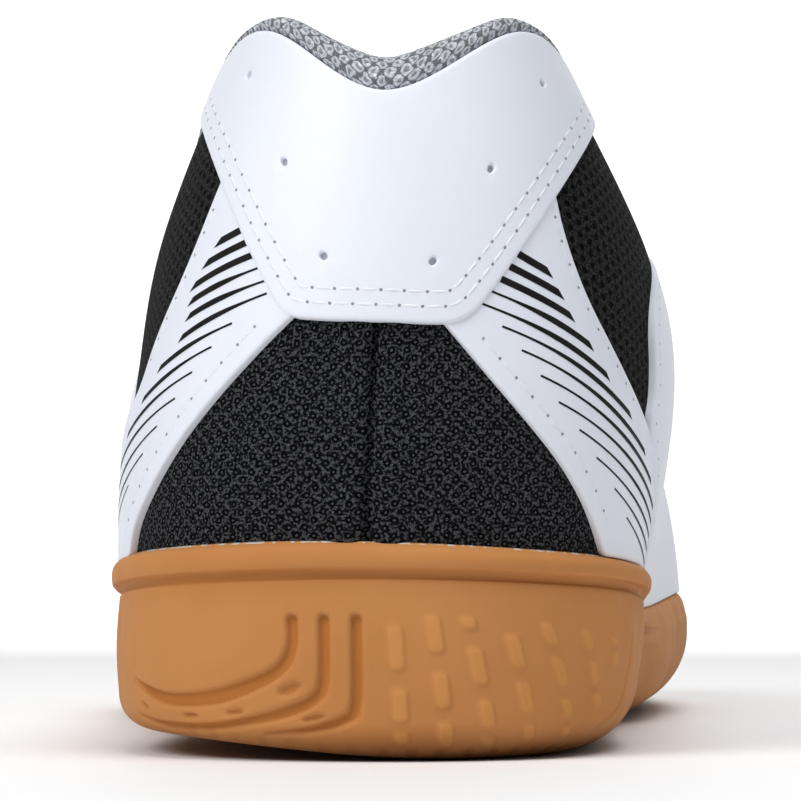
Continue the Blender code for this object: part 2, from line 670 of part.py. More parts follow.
def add_panel(name, parts):
    """Cut a panel's pattern from the lattice and wrap it round the upper."""
    outline = panel_outline(PANELS[name])
    columns = np.arange(np.floor(outline[:, 0].min()) - 1, np.ceil(outline[:, 0].max()) + 2)
    rows = np.arange(len(WALL_ROWS), dtype=float)
    slab = bpy.data.objects.new("slab", lattice_slab(columns, rows))
    prism = bpy.data.objects.new("pattern", pattern_prism(outline))
    for obj in (slab, prism):
        parts.objects.link(obj)
    add_boolean(slab, prism, "INTERSECT")
    mesh = evaluated_mesh(slab)
    for obj in (slab, prism):
        bpy.data.objects.remove(obj)
    flat = np.array([vertex.co for vertex in mesh.vertices])
    v = np.interp(flat[:, 1], rows, WALL_ROWS)
    wrapped = to_world(skin(u_of(flat[:, 0]), v, GAP + OVERLAY * flat[:, 2]))
    mesh.vertices.foreach_set("co", wrapped.ravel())
    turn_outwards(mesh)
    add_object(name, mesh, "panel", parts)


def edge_span(u):
    """Millimetres of wall for each unit of v at the top edge."""
    return 3 * np.hypot(CURVE["reach"](u), CURVE["drop"](u))


def add_cuff(parts):
    """The padded collar, which rolls over the upper's edge and lines it round the heel and ankle."""
    inner = np.arange(-COUNT // 2, COUNT // 2)
    inner_around = -u_of(inner) * PERIMETER
    arounds = np.sort(inner_around[np.abs(inner_around) < CUFF_END - 2])
    arounds = np.array([-CUFF_END, *arounds, CUFF_END])
    u = place(arounds)
    full = 1 - (1 - CUFF_THIN) * fade(np.abs(arounds), CUFF_TAPER, CUFF_END)
    roll = 1 - sum(drop * fade(np.abs(arounds), start, end) for drop, start, end in CUFF_DROPS)
    back, edge = CUFF_SECTION["edge_inside"]
    rings = []
    for out, up in CUFF_SECTION.values():
        thin_out = np.where(out < back, back + (out - back) * full, out)
        thin_up = edge + (up - edge) * full * (roll if up > edge else 1.0)
        rings.append(skin(u, 1 + thin_up / edge_span(u), thin_out))
    rows, columns = len(rings), len(u)
    faces = grid_faces(rows, columns, round_rows=True)
    faces += [[r * columns for r in range(rows)], [r * columns + columns - 1 for r in range(rows)]]
    add_object("collar_cuff", make_mesh("collar_cuff", np.concatenate(rings), faces), "collar_cuff", parts)


def throat_u(side, y):
    """u where one side of the top edge reaches y along the throat."""
    u = np.linspace(KNOT["eyestay_" + side], KNOT["toe_tip"], 200)
    return np.interp(y, CURVE["top_y"](u), u)


def through(knots, points, values):
    """The polynomial curve through points at knots."""
    total = 0.0
    for i, knot in enumerate(knots):
        weight = np.ones(np.shape(values))
        for other in np.delete(knots, i):
            weight = weight * (values - other) / (knot - other)
        total = total + weight[..., None] * points[i]
    return total


def tongue_line(y, across):
    """Points across the tongue's face, where the throat's edges reach y."""
    tucked, edge = {}, {}
    for side in ("lateral", "medial"):
        u = throat_u(side, y)
        tucked[side] = skin(u, 1 - TONGUE_TUCK / edge_span(u), -TONGUE_UNDER)
        edge[side] = skin(u, 1.0, -TONGUE_UNDER)
    crown = (edge["lateral"] + edge["medial"]) / 2
    crown[2] += TONGUE_CROWN * fade(y, *TONGUE_CROWN_RUN)
    points = [tucked["lateral"], edge["lateral"], crown, edge["medial"], tucked["medial"]]
    return through(np.array(TONGUE_KNOTS), points, np.asarray(across, float))


def add_tongue(parts):
    """The tongue, from under the vamp along the throat to its free top."""
    across = np.linspace(0, 1, TONGUE_ACROSS)
    half, front_v = TONGUE_FRONT
    front_u = KNOT["toe_tip"] + np.linspace(-half, half, TONGUE_ACROSS)
    rows = [skin(front_u, front_v, -TONGUE_UNDER)]
    rows += [tongue_line(y, across) for y in TONGUE_ROWS]
    last = rows[-1]
    crown = last[TONGUE_ACROSS // 2]
    for back, up, narrow in TONGUE_FREE.values():
        rows.append(crown + (last - crown) * narrow + (0, -back, up))
    faces = grid_faces(len(rows), TONGUE_ACROSS)
    mesh = make_mesh("tongue", np.concatenate(rows), faces, closed=False)
    add_solidify(add_object("tongue", mesh, "tongue", parts), TONGUE)


def ribbon(path):
    """A flat lace along a path, as points and faces."""
    path = np.asarray(path)
    run = np.gradient(path, axis=0)
    run /= np.linalg.norm(run, axis=1, keepdims=True)
    wide = np.cross(run, THROAT_UP)
    wide /= np.linalg.norm(wide, axis=1, keepdims=True)
    thick = np.cross(wide, run)
    wide, thick = wide * LACE_WIDTH / 2, thick * LACE_THICK / 2
    rings = np.stack([path - wide - thick, path + wide - thick, path + wide + thick, path - wide + thick])
    count = len(path)
    faces = grid_faces(4, count, round_rows=True)
    faces += [[r * count for r in range(4)], [r * count + count - 1 for r in range(4)]]
    return rings.reshape(-1, 3), faces


def eyelet_rows():
    return np.linspace(*EYELET_SPAN, EYELET_PAIRS)


def lace_path(y_from, y_to, from_lateral, over_start, over_end):
    """A run of lace over the tongue, whose ends lie on the eyestay or go under its edge."""
    first, last = LACE_ACROSS[0], 1 - LACE_ACROSS[0]
    if not over_start:
        first = 1 - LACE_ACROSS[1]
    if not over_end:
        last = LACE_ACROSS[1]
    high = LACE_OVER + TONGUE_UNDER
    share = np.linspace(0, 1, LACE_POINTS)
    lift = np.interp(share, (0, 1), (high if over_start else LACE_LOW, high if over_end else LACE_LOW))
    lift += LACE_BOW * np.sin(np.pi * share)
    across = first + (last - first) * share
    if not from_lateral:
        across = 1 - across
    path = np.array([tongue_line(y, a) for y, a in zip(y_from + (y_to - y_from) * share, across)])
    path += lift[:, None] * np.array(THROAT_UP)
    sides = ("lateral", "medial") if from_lateral else ("medial", "lateral")
    ends = [None, None]
    for i, (side, y, over) in enumerate(zip(sides, (y_from, y_to), (over_start, over_end))):
        u = throat_u(side, y)
        seat = skin(u, 1 - EYELET_IN / edge_span(u), LACE_OVER)
        edge = skin(u, 1.0, LACE_OVER)
        ends[i] = [seat, edge] if over else []
    inner = path[1 if over_start else 0:-1 if over_end else None]
    return np.array([*ends[0], *inner, *ends[1][::-1]])


def add_laces(parts, cutters):
    """A bar over the lowest eyelets, and a crossing between each pair of eyelets and the next."""
    rows = eyelet_rows()
    bar = lace_path(rows[0], rows[0], True, True, True)
    add_object("lace_bar", make_mesh("lace_bar", *ribbon(bar)), "lace", parts)
    for i, (y_from, y_to) in enumerate(zip(rows[:-1], rows[1:]), start=1):
        name = f"lace_cross_{i}"
        over = i > 1
        first, second = (ribbon(lace_path(y_from, y_to, lateral, over, False)) for lateral in (True, False))
        crossing = add_object(name, make_mesh(name, *first), "lace", parts)
        add_boolean(crossing, add_cutter(name + "_second", make_mesh(name, *second), cutters), "UNION")


def main():
    clear_scene()
    parts = add_collection("table_tennis_shoe")
    cutters = add_collection("cutters")
    add_outsole(parts, cutters)
    add_insole(parts)
    add_upper(parts)
    add_cuff(parts)
    add_tongue(parts)
    for name in PANELS:
        add_panel(name, parts)
    add_laces(parts, cutters)


main()
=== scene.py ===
"""Looks of the left table tennis shoe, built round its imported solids.

Sizes and places are in millimetres on the last.
X runs to the medial side, Y from heel to toe, and Z up from the floor.
"""

import bpy
import numpy as np
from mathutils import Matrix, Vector
from mathutils.geometry import delaunay_2d_cdt


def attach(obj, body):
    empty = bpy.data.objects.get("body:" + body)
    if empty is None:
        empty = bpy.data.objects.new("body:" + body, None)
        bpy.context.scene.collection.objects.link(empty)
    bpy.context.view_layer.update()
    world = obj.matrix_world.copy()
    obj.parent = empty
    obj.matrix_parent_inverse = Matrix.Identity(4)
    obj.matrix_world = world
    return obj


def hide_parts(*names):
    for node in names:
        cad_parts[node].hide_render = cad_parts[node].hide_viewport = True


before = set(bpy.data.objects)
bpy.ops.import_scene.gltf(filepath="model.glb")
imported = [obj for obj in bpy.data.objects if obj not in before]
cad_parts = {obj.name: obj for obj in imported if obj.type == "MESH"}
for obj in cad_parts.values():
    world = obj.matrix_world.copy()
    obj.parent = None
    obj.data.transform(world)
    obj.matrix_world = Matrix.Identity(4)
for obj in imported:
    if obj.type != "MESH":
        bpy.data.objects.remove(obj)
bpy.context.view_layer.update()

MM = 0.001
MIDDLE = np.array([-1.141, 140.982, 0.0])  # the point of the last that lies at the origin
SHOE_LENGTH = 278.0
WALL = 2.0
GAP = 0.3
INSOLE = 4.0
HALVINGS = 30  # steps of a search for a height on the wall
LIP_POINTS = 4001
THROAT_POINTS = 200
BEHIND = (0.0, -500.0, 30.0)
ABOVE = (0.0, 130.0, 300.0)
FAR_OUT = 40.0

# The upper's sections, from the heel round the lateral side to the toe and back
SECTION_COLUMNS = (
    "base_x", "base_y", "base_z", "rise", "lean",
    "top_x", "top_y", "top_z", "reach", "drop", "lip_z", "edge_r",
)
SECTIONS = {
    "heel_back": (0.0, 5.3, 17.0, 18, 4.0, 2.2, 7.5, 79.5, 4.5, 20, 25.2, 4.5),
    "heel_corner_lateral": (-20.8, 12.6, 17.0, 17, 4.8, -11.4, 15.6, 88.0, 6.0, 22, 24.6, 3.8),
    "heel_side_lateral": (-32.2, 40.0, 17.0, 15, 0.8, -23.3, 43.0, 76.0, 9.6, 20, 23.0, 4.2),
    "ankle_lateral": (-33.1, 74.0, 16.5, 14, 2.4, -28.0, 71.0, 63.5, 6.0, 14, 20.5, 5.5),
    "quarter_lateral": (-34.2, 98.0, 16.0, 14, 5.2, -25.5, 91.0, 68.0, 9.0, 15, 18.5, 7.0),
    "eyestay_lateral": (-37.0, 120.0, 15.0, 14, 4.5, -16.0, 107.0, 82.0, 15.0, 16, 18.0, 7.5),
    "throat_lateral": (-42.6, 148.0, 14.0, 14, 3.6, -13.5, 129.0, 75.5, 20.0, 12, 18.5, 8.0),
    "ball_lateral": (-45.2, 178.0, 13.0, 15, 3.0, -12.0, 152.0, 67.5, 24.0, 10, 19.0, 8.5),
    "toe_side_lateral": (-42.0, 218.0, 13.0, 19, 2.5, -10.5, 170.0, 62.0, 29.0, 8, 19.5, 8.5),
    "toe_corner_lateral": (-25.0, 259.0, 14.0, 26, 2.0, -6.0, 179.0, 59.0, 40.0, 7, 21.5, 8.5),
    "toe_tip": (6.0, 278.5, 16.0, 29, 1.5, 3.0, 183.0, 58.0, 50.0, 6, 24.0, 8.0),
    "toe_corner_medial": (32.0, 260.0, 14.0, 27, 2.0, 11.5, 179.0, 59.0, 40.0, 6, 21.5, 9.0),
    "toe_side_medial": (42.3, 226.0, 13.0, 22, 0.3, 15.5, 170.0, 62.5, 26.0, 7, 19.5, 11.5),
    "ball_medial": (43.2, 188.0, 13.0, 19, 0.2, 17.0, 152.0, 68.5, 19.5, 8, 19.5, 13.0),
    "throat_medial": (39.2, 152.0, 14.0, 19, 1.0, 18.0, 129.0, 76.5, 18.0, 14, 18.5, 11.5),
    "eyestay_medial": (35.2, 120.0, 15.0, 19, 2.4, 20.0, 107.0, 83.0, 22.0, 22, 17.5, 9.0),
    "quarter_medial": (33.0, 98.0, 16.0, 17, 4.0, 31.0, 91.0, 69.0, 12.0, 17, 18.0, 9.0),
    "ankle_medial": (31.8, 72.0, 16.5, 14, 2.4, 33.6, 71.0, 65.0, 9.0, 15, 20.5, 9.0),
    "heel_side_medial": (31.4, 40.0, 17.0, 15, 3.0, 27.2, 43.0, 75.5, 14.0, 18, 23.0, 9.0),
    "heel_corner_medial": (20.8, 12.6, 17.0, 17, 4.8, 17.0, 15.6, 87.7, 6.0, 22, 24.6, 7.0),
}

# The sole's side: distance below the lip's crest, and distance out from the upper at heel and forefoot
SIDE_PROFILE = (
    (-0.20, 0.15, 0.15), (0.00, 0.40, 0.32), (0.06, 0.72, 0.62), (0.25, 1.18, 0.95), (0.60, 1.58, 1.25),
    (1.05, 1.82, 1.50), (1.60, 1.92, 1.75), (2.40, 1.92, 1.95), (3.05, 1.84, 2.08), (3.27, 1.62, 2.14),
    (3.36, 1.25, 2.17), (3.43, 0.75, 2.20), (3.62, 0.50, 2.25), (3.97, 0.42, 2.32), (4.32, 0.46, 2.37),
    (4.47, 0.58, 2.39), (4.52, 0.72, 2.40), (4.67, 0.86, 2.40), (5.05, 0.92, 2.40),
)
LIP_RISE = 0.6  # how much higher the crest lies at the heel than the foot of the panels
LIP_SINKS = (0.1, 0.75)  # how much lower the crest lies on the lateral and the medial side
SINK_SPAN = (-15.0, 25.0)
SINK_ENDS = (0.5, 3.0)  # distances below the crest between which the sinking runs out
LIP_GROOVE = (3.2, 4.55)
GROOVE_MARK = 0.35  # mark of the shade in that groove
GLUE_AND_HIGHLIGHT = 0.9  # mark of glue dabs along the lip's crest, and of a painted highlight there
GLUE_AND_HIGHLIGHT_ENDS = (32.0, 38.0)
WALL_BULGE = 0.35
HEEL_TAPER = 0.8  # how far the heel's medial wall draws in towards the floor
TAPER_SPAN = (10.0, 30.0)
LIP_FADES = (95.0, 135.0)
ARCH_RISE = 2.5
ARCH_SPAN = (88.0, 146.0)
TOE_SPRING = 10.0
TOE_START = 212.0
HEEL_BEVEL = 2.7  # how far the tread's lateral rear corner is lifted
BEVEL_ACROSS = (10.0, -32.0)
BEVEL_ALONG = (100.0, 70.0)
SIDE_ROWS = 46  # rows down the wall
EDGE_ROWS = 26  # rows round the edge to the tread
RELIEF_ENDS = (0.9, 1.5)  # slopes of that edge, in radians, between which the relief runs out
SOLE_ZONES = ((45.0, 0.25),)  # how far from the heel's back the side is finely divided, and its step
SOLE_STEP = 2.2
SEAT_DROP = 0.2  # how far the seat's upper edge lies below the foot of the panels

# Grooves on the heel's side: distance round from the heel's back, height over the floor, and width
GROOVE_DEPTH = 0.8
GROOVE_SOFT = 0.26
GROOVE_TOP = 16.5
GROOVE_STEP = 0.8
GROOVES = {
    "inner": (
        (-8.0, GROOVE_TOP, 1.2), (-8.0, 13.4, 1.2), (-9.2, 10.8, 1.4), (-12.5, 8.9, 1.6), (-17.2, 7.4, 1.8),
        (-23.5, 6.9, 1.5), (-28.5, 7.6, 1.1), (-33.0, 8.9, 0.6),
    ),
    "middle": (
        (-4.5, GROOVE_TOP, 1.2), (-4.5, 9.4, 1.2), (-5.4, 7.3, 1.3), (-8.0, 5.9, 1.3), (-12.5, 4.6, 1.1),
        (-18.8, 3.6, 0.9), (-27.0, 3.7, 0.8), (-32.5, 4.6, 0.5),
    ),
    "outer": (
        (-1.0, GROOVE_TOP, 1.2), (-1.0, 6.8, 1.2), (-2.2, 4.8, 1.2), (-5.8, 3.6, 0.9), (-11.2, 3.0, 0.5),
    ),
    "lateral_rim": ((-33.3, 15.0, 0.4), (-33.3, 10.6, 0.5)),
    "medial_rim": ((41.5, 14.5, 0.5), (41.0, 9.0, 0.6), (38.5, 5.0, 0.6), (34.0, 3.2, 0.4)),
}
# Dimples beside the grooves: distance round, height, half length, half width, and slope
DIMPLE_DEPTH = 0.55
DIMPLE_EDGE = (0.5, 1.15)  # shares of its size between which a dimple runs out
DIMPLES = (
    (-8.2, 8.4, 1.7, 0.75, 0.45),
    (-14.8, 5.6, 1.3, 0.45, 0.12),
    (-21.2, 5.0, 1.3, 0.4, 0.0),
    (-30.5, 5.9, 1.2, 0.4, -0.3),
    (-5.6, 5.0, 1.5, 0.5, 0.25),
)
# Columns of raised dashes: distance round at the top and the foot, and each dash's upper and lower end
DASH_RISE = 0.32
DASH_HALF = 0.85
DASH_CORNER = 0.65
DASH_EDGE = (-0.3, 0.25)  # distances past its outline between which a dash falls off
DASH_COLUMNS = (
    (3.0, 3.9, (15.9, 10.6, 8.5, 4.5, 3.4, 2.0)),
    (7.0, 8.8, (17.1, 12.6, 10.3, 6.1, 4.5, 1.8)),
    (10.8, 14.0, (16.9, 15.3, 13.3, 8.8, 7.1, 3.9, 3.0, 1.6)),
    (15.9, 19.3, (14.8, 10.6, 9.1, 5.3, 4.3, 2.2)),
    (20.4, 25.8, (16.2, 13.3, 12.1, 8.4, 7.2, 4.7, 4.0, 2.4)),
    (26.8, 31.2, (15.3, 12.8, 11.6, 8.5, 7.9, 5.7)),
    (33.0, 35.2, (14.6, 13.2, 12.7, 10.8)),
)
NOTCH_DEPTH = 0.2
NOTCH_PITCH = 3.4
NOTCH_SPAN = (-24.0, 30.0)
NOTCH_RUN = 2.0
NOTCH_EDGE = (0.12, 0.2)  # shares of the pitch between which a notch falls off
NOTCH_HEIGHT = (0.9, 1.5)  # heights over the tread's edge between which the notches run out
TREAD_DEPTH = 1.5
TREAD_BEND = 9.0
TREAD_REACH = 60.0
TREAD_PLACES = (32.0, 50.0, 68.0, 156.0, 170.0, 184.0, 198.0)
FINE_DEPTH = 0.5
FINE_PITCH = 3.6
FINE_ZONES = ((16.0, 82.0), (146.0, 236.0))
FINE_RUN = 2.0
FINE_EDGE = (0.1, 0.22)
FINE_MARGIN = (1.0, 4.0)  # distances in from the tread's edge between which the ribs begin
TREAD_GRID = (340, 61)  # points along and across
TREAD_MARGIN = 0.2

# Panels, as corners: distance round, share of the wall from the sole's lip to the top edge, and rounding
WALL_SPAN = 62.0  # millimetres that a share of 1 stands for on the flat pattern
FOOT = 0.0
TOP = 0.995
EYESTAY_END = 131.0
EYESTAY_OTHER = -486.0
PANELS = {
    "heel_panel": (
        (-40.0, TOP, 1.0), (-40.0, 0.925, 1.0), (-25.0, 0.697, 6.0), (-11.4, 0.468, 2.0), (0.0, 0.49, 4.0),
        (10.8, 0.459, 3.0), (17.8, 0.568, 5.0), (41.5, 0.938, 1.0), (41.5, TOP, 1.0),
    ),
    "band_lateral": (
        (-24.4, 0.745, 1.0), (-8.6, 0.51, 1.0), (-18.0, 0.325, 10.0), (-27.8, 0.162, 8.0),
        (-35.0, 0.062, 4.0), (-36.8, FOOT, 1.0), (-67.0, FOOT, 1.0), (-67.0, 0.28, 2.0),
        (-37.0, 0.36, 4.0), (-33.8, 0.442, 4.0), (-28.5, 0.551, 6.0),
    ),
    "band_medial": (
        (24.4, 0.72, 1.0), (6.6, 0.506, 1.0), (15.5, 0.309, 10.0), (26.0, 0.126, 8.0), (31.6, FOOT, 1.0),
        (57.0, FOOT, 1.0), (52.0, 0.25, 2.0), (42.5, 0.31, 4.0), (34.5, 0.388, 8.0), (28.2, 0.487, 8.0),
        (25.2, 0.60, 6.0),
    ),
    "saddle_lateral": (
        (-57.0, FOOT, 1.0), (-60.0, 0.25, 4.0), (-70.0, 0.58, 12.0), (-92.0, TOP, 3.0),
        (-134.0, TOP, 1.0), (-134.0, 0.80, 1.0), (-172.0, 0.80, 6.0), (-186.0, FOOT, 1.0),
    ),
    "saddle_medial": (
        (54.0, FOOT, 1.0), (52.5, 0.13, 6.0), (43.4, 0.322, 2.0), (45.6, 0.40, 6.0), (46.0, 0.575, 8.0),
        (58.0, 0.83, 10.0), (84.0, TOP, 3.0), (134.0, TOP, 1.0), (134.0, 0.80, 1.0), (176.0, 0.80, 6.0),
        (208.0, 0.40, 12.0), (224.0, FOOT, 1.0),
    ),
    "eyestay": (
        (-EYESTAY_END, TOP, 1.0), (-EYESTAY_END, 0.76, 3.0), (-190.0, 0.78, 9.0), (-255.0, 0.86, 9.0),
        (-312.0, 0.86, 9.0), (-362.0, 0.86, 9.0), (-418.0, 0.78, 9.0), (EYESTAY_OTHER, 0.76, 3.0),
        (EYESTAY_OTHER, TOP, 1.0),
    ),
    "toe_cap": (
        (-238.0, FOOT, 1.0), (-262.0, 0.30, 12.0), (-285.0, 0.41, 12.0), (-312.0, 0.45, 12.0),
        (-337.0, 0.41, 12.0), (-360.0, 0.30, 12.0), (-384.0, FOOT, 1.0),
    ),
}
PANEL_THICK = {
    "heel_panel": 1.05,
    "band_lateral": 0.8,
    "band_medial": 0.6,
    "saddle_lateral": 1.1,
    "saddle_medial": 0.85,
    "eyestay": 1.5,
    "toe_cap": 1.0,
}
EDGE_PROFILE = ((0.0, -0.8), (0.02, -0.35), (0.12, -0.12), (0.32, -0.02), (0.65, 0.0))  # inset, height
PATTERN_STEP = 0.6
PATTERN_GRID = 1.7
GRID_ROW = 0.87  # rows of the grid, in its steps
GRID_INSET = 1.3
HOLE_PROFILE = ((0.0, -0.9), (0.03, -0.2), (0.15, -0.03), (0.32, 0.0))  # wider by, height
HOLE_CLEAR = 0.8
HOLE_RING = 20
HOLE_INSIDE = 0.99  # share of a hole's radius within which no face is kept
CORNER_POINTS = 9
CORNER_SHARE = 0.45  # of an edge, the most that a rounding takes up
CORNER_COUNT = 0.2  # how much the count of corners grows round one corner

# Rows of stitches: first and last corner of the panel's outline, distances from the edge, and pitch
STITCH_ROWS = {
    "heel_panel": ((1.0, 7.0, (1.95, 3.7), 2.75),),
    "band_lateral": ((1.6, 5.0, (2.3,), 3.1), (8.2, 10.8, (1.2,), 3.0)),
    "band_medial": ((1.6, 4.0, (2.3,), 3.1), (7.2, 10.8, (1.2,), 3.0)),
    "saddle_lateral": ((0.0, 3.0, (1.6,), 2.7), (6.0, 7.0, (2.0,), 2.7)),
    "saddle_medial": ((0.0, 6.0, (1.6,), 2.7), (9.0, 11.0, (2.0,), 2.7)),
    "eyestay": ((0.6, 7.4, (1.6, 3.4), 2.7), (8.2, 8.8, (1.6,), 2.7)),
    "toe_cap": ((0.0, 6.0, (1.6, 3.4), 2.7),),
}
THREAD = 0.23  # radius of the thread
THREAD_RING = 8
# Stations along a stitch: share of its length, height over the panel, and size of the thread
STITCH_STATIONS = (
    (0.0, -0.35, 0.7), (0.2, -0.18, 1.0), (0.5, -0.15, 1.05), (0.8, -0.18, 1.0), (1.0, -0.35, 0.7),
)
STATION_SHARE, STATION_HEIGHT, STATION_SIZE = np.array(STITCH_STATIONS).T
NEEDLE_HOLE = 0.2
NEEDLE_RING = 8
NEEDLE_LIFT = 0.02
DISC_RING = 12
PERFORATION = 0.46
PIT_FLOOR = (0.1, 0.7)  # how much wider than the hole, and height over the upper
PERFORATIONS = (
    (-24.3, 0.90), (25.0, 0.887), (-14.8, 0.754), (15.1, 0.742), (-7.3, 0.604), (6.9, 0.597),
)

# Printed stripes on the bands: the places of their ends, by number of the stripe
STRIPE_COUNT = 13
STRIPE_ENDS = {
    "medial_inner": (
        (0, 18.0, 0.571), (4, 13.0, 0.491), (8, 22.2, 0.298), (10, 28.2, 0.202), (12, 36.5, 0.096),
    ),
    "medial_outer": (
        (0, 22.2, 0.532), (2, 25.0, 0.455), (4, 30.8, 0.361), (6, 41.5, 0.25), (8, 50.5, 0.155),
        (12, 53.5, 0.015),
    ),
    "lateral_inner": (
        (0, -19.5, 0.609), (4, -14.4, 0.529), (5, -14.1, 0.505), (6, -18.2, 0.441), (9, -25.5, 0.308),
        (11, -32.0, 0.218), (12, -37.2, 0.167),
    ),
    "lateral_outer": (
        (0, -23.0, 0.584), (2, -26.0, 0.51), (4, -25.8, 0.455), (5, -26.5, 0.418), (7, -34.5, 0.33),
        (9, -47.0, 0.24), (12, -51.0, 0.10),
    ),
}
STRIPE_WIDTH = 0.84
STRIPE_NARROWS = 0.034  # from one stripe to the next
STRIPE_THIN = 0.26  # width of the inner ends, from the fourth stripe on
STRIPE_CUT = 1.5  # how far the lower edge runs past the upper one, in widths
STRIPE_BOW = -0.008
STRIPE_BOW_RUN = 20.0
STRIPE_FULL = 3  # stripes as wide at their inner ends
STRIPE_SWELL = (0.1, 0.65)
STRIPE_CUT_RUN = (0.7, 1.0)
STRIPE_POINTS = 24
PRINT_LIFT = 0.03

# The padded collar's section: out from the upper's face and up from its edge
CUFF_END = 117.0
CUFF_TAPER = 70.0
CUFF_THIN = 0.3
CUFF_BACK = -2.4
CUFF_EDGE = 0.5
CUFF_SECTION = (
    (-2.4, -16.0), (-2.4, 0.5), (-0.6, 0.4), (0.5, -0.2), (1.15, 0.9), (1.0, 2.8), (0.0, 4.2), (-1.7, 5.0),
    (-3.6, 4.9), (-5.4, 3.7), (-6.7, 0.9), (-7.6, -5.0), (-7.4, -14.0), (-5.4, -24.0), (-2.4, -31.0),
)
CUFF_DROPS = ((0.56, 3.0, 20.0), (0.38, 20.0, 29.0))  # how much lower the roll gets, and between where
CUFF_STEPS = 5  # points between two points of the section
CUFF_MEASURE = 35  # the ring along which the lining's pattern is measured

TONGUE = 4.0
TONGUE_UNDER = WALL + 1.2
TONGUE_KNOTS = (0.0, 0.2, 0.5, 0.8, 1.0)
TONGUE_TUCK = 8.0
TONGUE_CROWN = 2.0
TONGUE_CROWN_RUN = (179.0, 160.0)
TONGUE_FRONT = (0.04, 0.90)
TONGUE_ROWS = (178.0, 168.0, 156.0, 143.0, 131.0, 120.0, 109.0)
TONGUE_FREE = ((6.0, 3.4, 0.66), (12.0, 8.6, 0.60))
TONGUE_ACROSS = 41
TONGUE_STEP = 12.0
TONGUE_WIDE = 45.0
TONGUE_SQUARE = 6  # power that keeps its face full to the sides
TONGUE_EDGE = 0.03
TONGUE_TIP = (4, 0.02)  # rows over which its end thins, and the least share left

EYELET_PAIRS = 6
EYELET_SPAN = (171.0, 113.0)
EYELET_IN = 7.0
EYELET = 1.9
EYELET_FLOOR = (0.2, 0.12)  # how much wider than the hole, and height over the upper
LACE_WIDTH = 6.0
LACE_THICK = 1.2
LACE_CLEAR = 1.8  # from the eyestay's seat to the lace
LACE_OVER = GAP + LACE_CLEAR + LACE_THICK / 2  # the middle of the lace over the upper
LACE_LOW = 2.0
LACE_BOW = 0.8
LACE_ACROSS = (0.2, 0.77)
LACE_POINTS = 6
LACE_RING = 14  # points round the lace
LACE_STEP = 0.7
LACE_APART = 0.5  # how much higher the second lace of a crossing lies
LACE_POWERS = (0.5, 0.8)  # how full its section is across and in thickness
LACE_GATHER = 0.5
GATHER_RUN = (1.0, 5.0)
# Where the lace dives into an eyelet: distance from its middle to the throat, and height over the upper
LACE_DIVE = ((-0.5, 0.2), (-0.5, 1.6), (1.2, LACE_OVER + 0.1))
THROAT_UP = np.array([0.0, 0.25, 0.97])

INSOLE_UNDER = WALL + 0.6
INSOLE_GRID = (160, 41)
INSOLE_CUP = (0.9, 6)  # rise of its edges, and the power that keeps its middle flat
INSOLE_SINK = 0.5
INSOLE_SKIRT = INSOLE - 0.8

# The floor: half width, front edge, start and radius of the sweep, height of its wall, and drop
FLOOR_HALF = 4000.0
FLOOR_FRONT = -1500.0
FLOOR_BACK = 1600.0
FLOOR_SWEEP = 900.0
FLOOR_TOP = 4000.0
FLOOR_DROP = 0.2
FLOOR_STEPS = 16

# Area lights in metres: place, what it is aimed at, size, and power
HEEL = (0.0, -0.10, 0.045)
LIGHTS = {
    "key": ((-0.9, -1.1, 1.1), HEEL, 0.9, 16.5),
    "fill": ((1.2, -1.0, 0.7), HEEL, 1.2, 0.5),
    "backdrop": ((0.0, 0.9, 1.6), (0.0, 3.4, 0.9), 2.0, 40.0),
    "top": ((0.35, -0.55, 1.7), HEEL, 1.2, 17.5),
}
AMBIENT = 0.18

# The photograph's camera on the last, and the pixel that its level axis meets
CAMERA = np.array([20.5, -400.0, 20.0])
FOCAL = 3440.0
IMAGE = 801.0
AXIS_PIXEL = (539.8, 590.0)
SENSOR = 36.0
CLIP = (0.01, 50.0)


def periodic_spline(knots, values):
    """A smooth closed curve through values at knots in 0..1, as a function of u."""
    count = len(knots)
    span = np.diff(np.append(knots, 1.0))
    matrix = np.zeros((count, count))
    right = np.zeros(count)
    for i in range(count):
        before, after = (i - 1) % count, (i + 1) % count
        matrix[i, before] += span[before]
        matrix[i, i] += 2 * (span[before] + span[i])
        matrix[i, after] += span[i]
        right[i] = 6 * ((values[after] - values[i]) / span[i] - (values[i] - values[before]) / span[before])
    bend = np.linalg.solve(matrix, right)

    def curve(u):
        u = np.asarray(u, float) % 1.0
        i = np.searchsorted(knots, u, side="right") - 1
        j = (i + 1) % count
        h = span[i]
        b = (u - knots[i]) / h
        a = 1 - b
        lift = ((a**3 - a) * bend[i] + (b**3 - b) * bend[j]) * h * h / 6
        return a * values[i] + b * values[j] + lift

    return curve


def section_curves():
    """Each column of the section table as a smooth closed curve."""
    table = np.array(list(SECTIONS.values()), float)
    step = np.linalg.norm(np.roll(table[:, :2], -1, axis=0) - table[:, :2], axis=1)
    knots = np.concatenate([[0], np.cumsum(step)[:-1]]) / step.sum()
    curves = {name: periodic_spline(knots, table[:, i]) for i, name in enumerate(SECTION_COLUMNS)}
    return dict(zip(SECTIONS, knots)), curves, step.sum()


KNOT, CURVE, PERIMETER = section_curves()


def stack(x, y, z):
    return np.stack(np.broadcast_arrays(x, y, z), axis=-1)


def outward(u):
    """The level direction that points out of the base outline."""
    step = 1e-4
    x = CURVE["base_x"](u + step) - CURVE["base_x"](u - step)
    y = CURVE["base_y"](u + step) - CURVE["base_y"](u - step)
    size = np.hypot(x, y)
    return -y / size, x / size


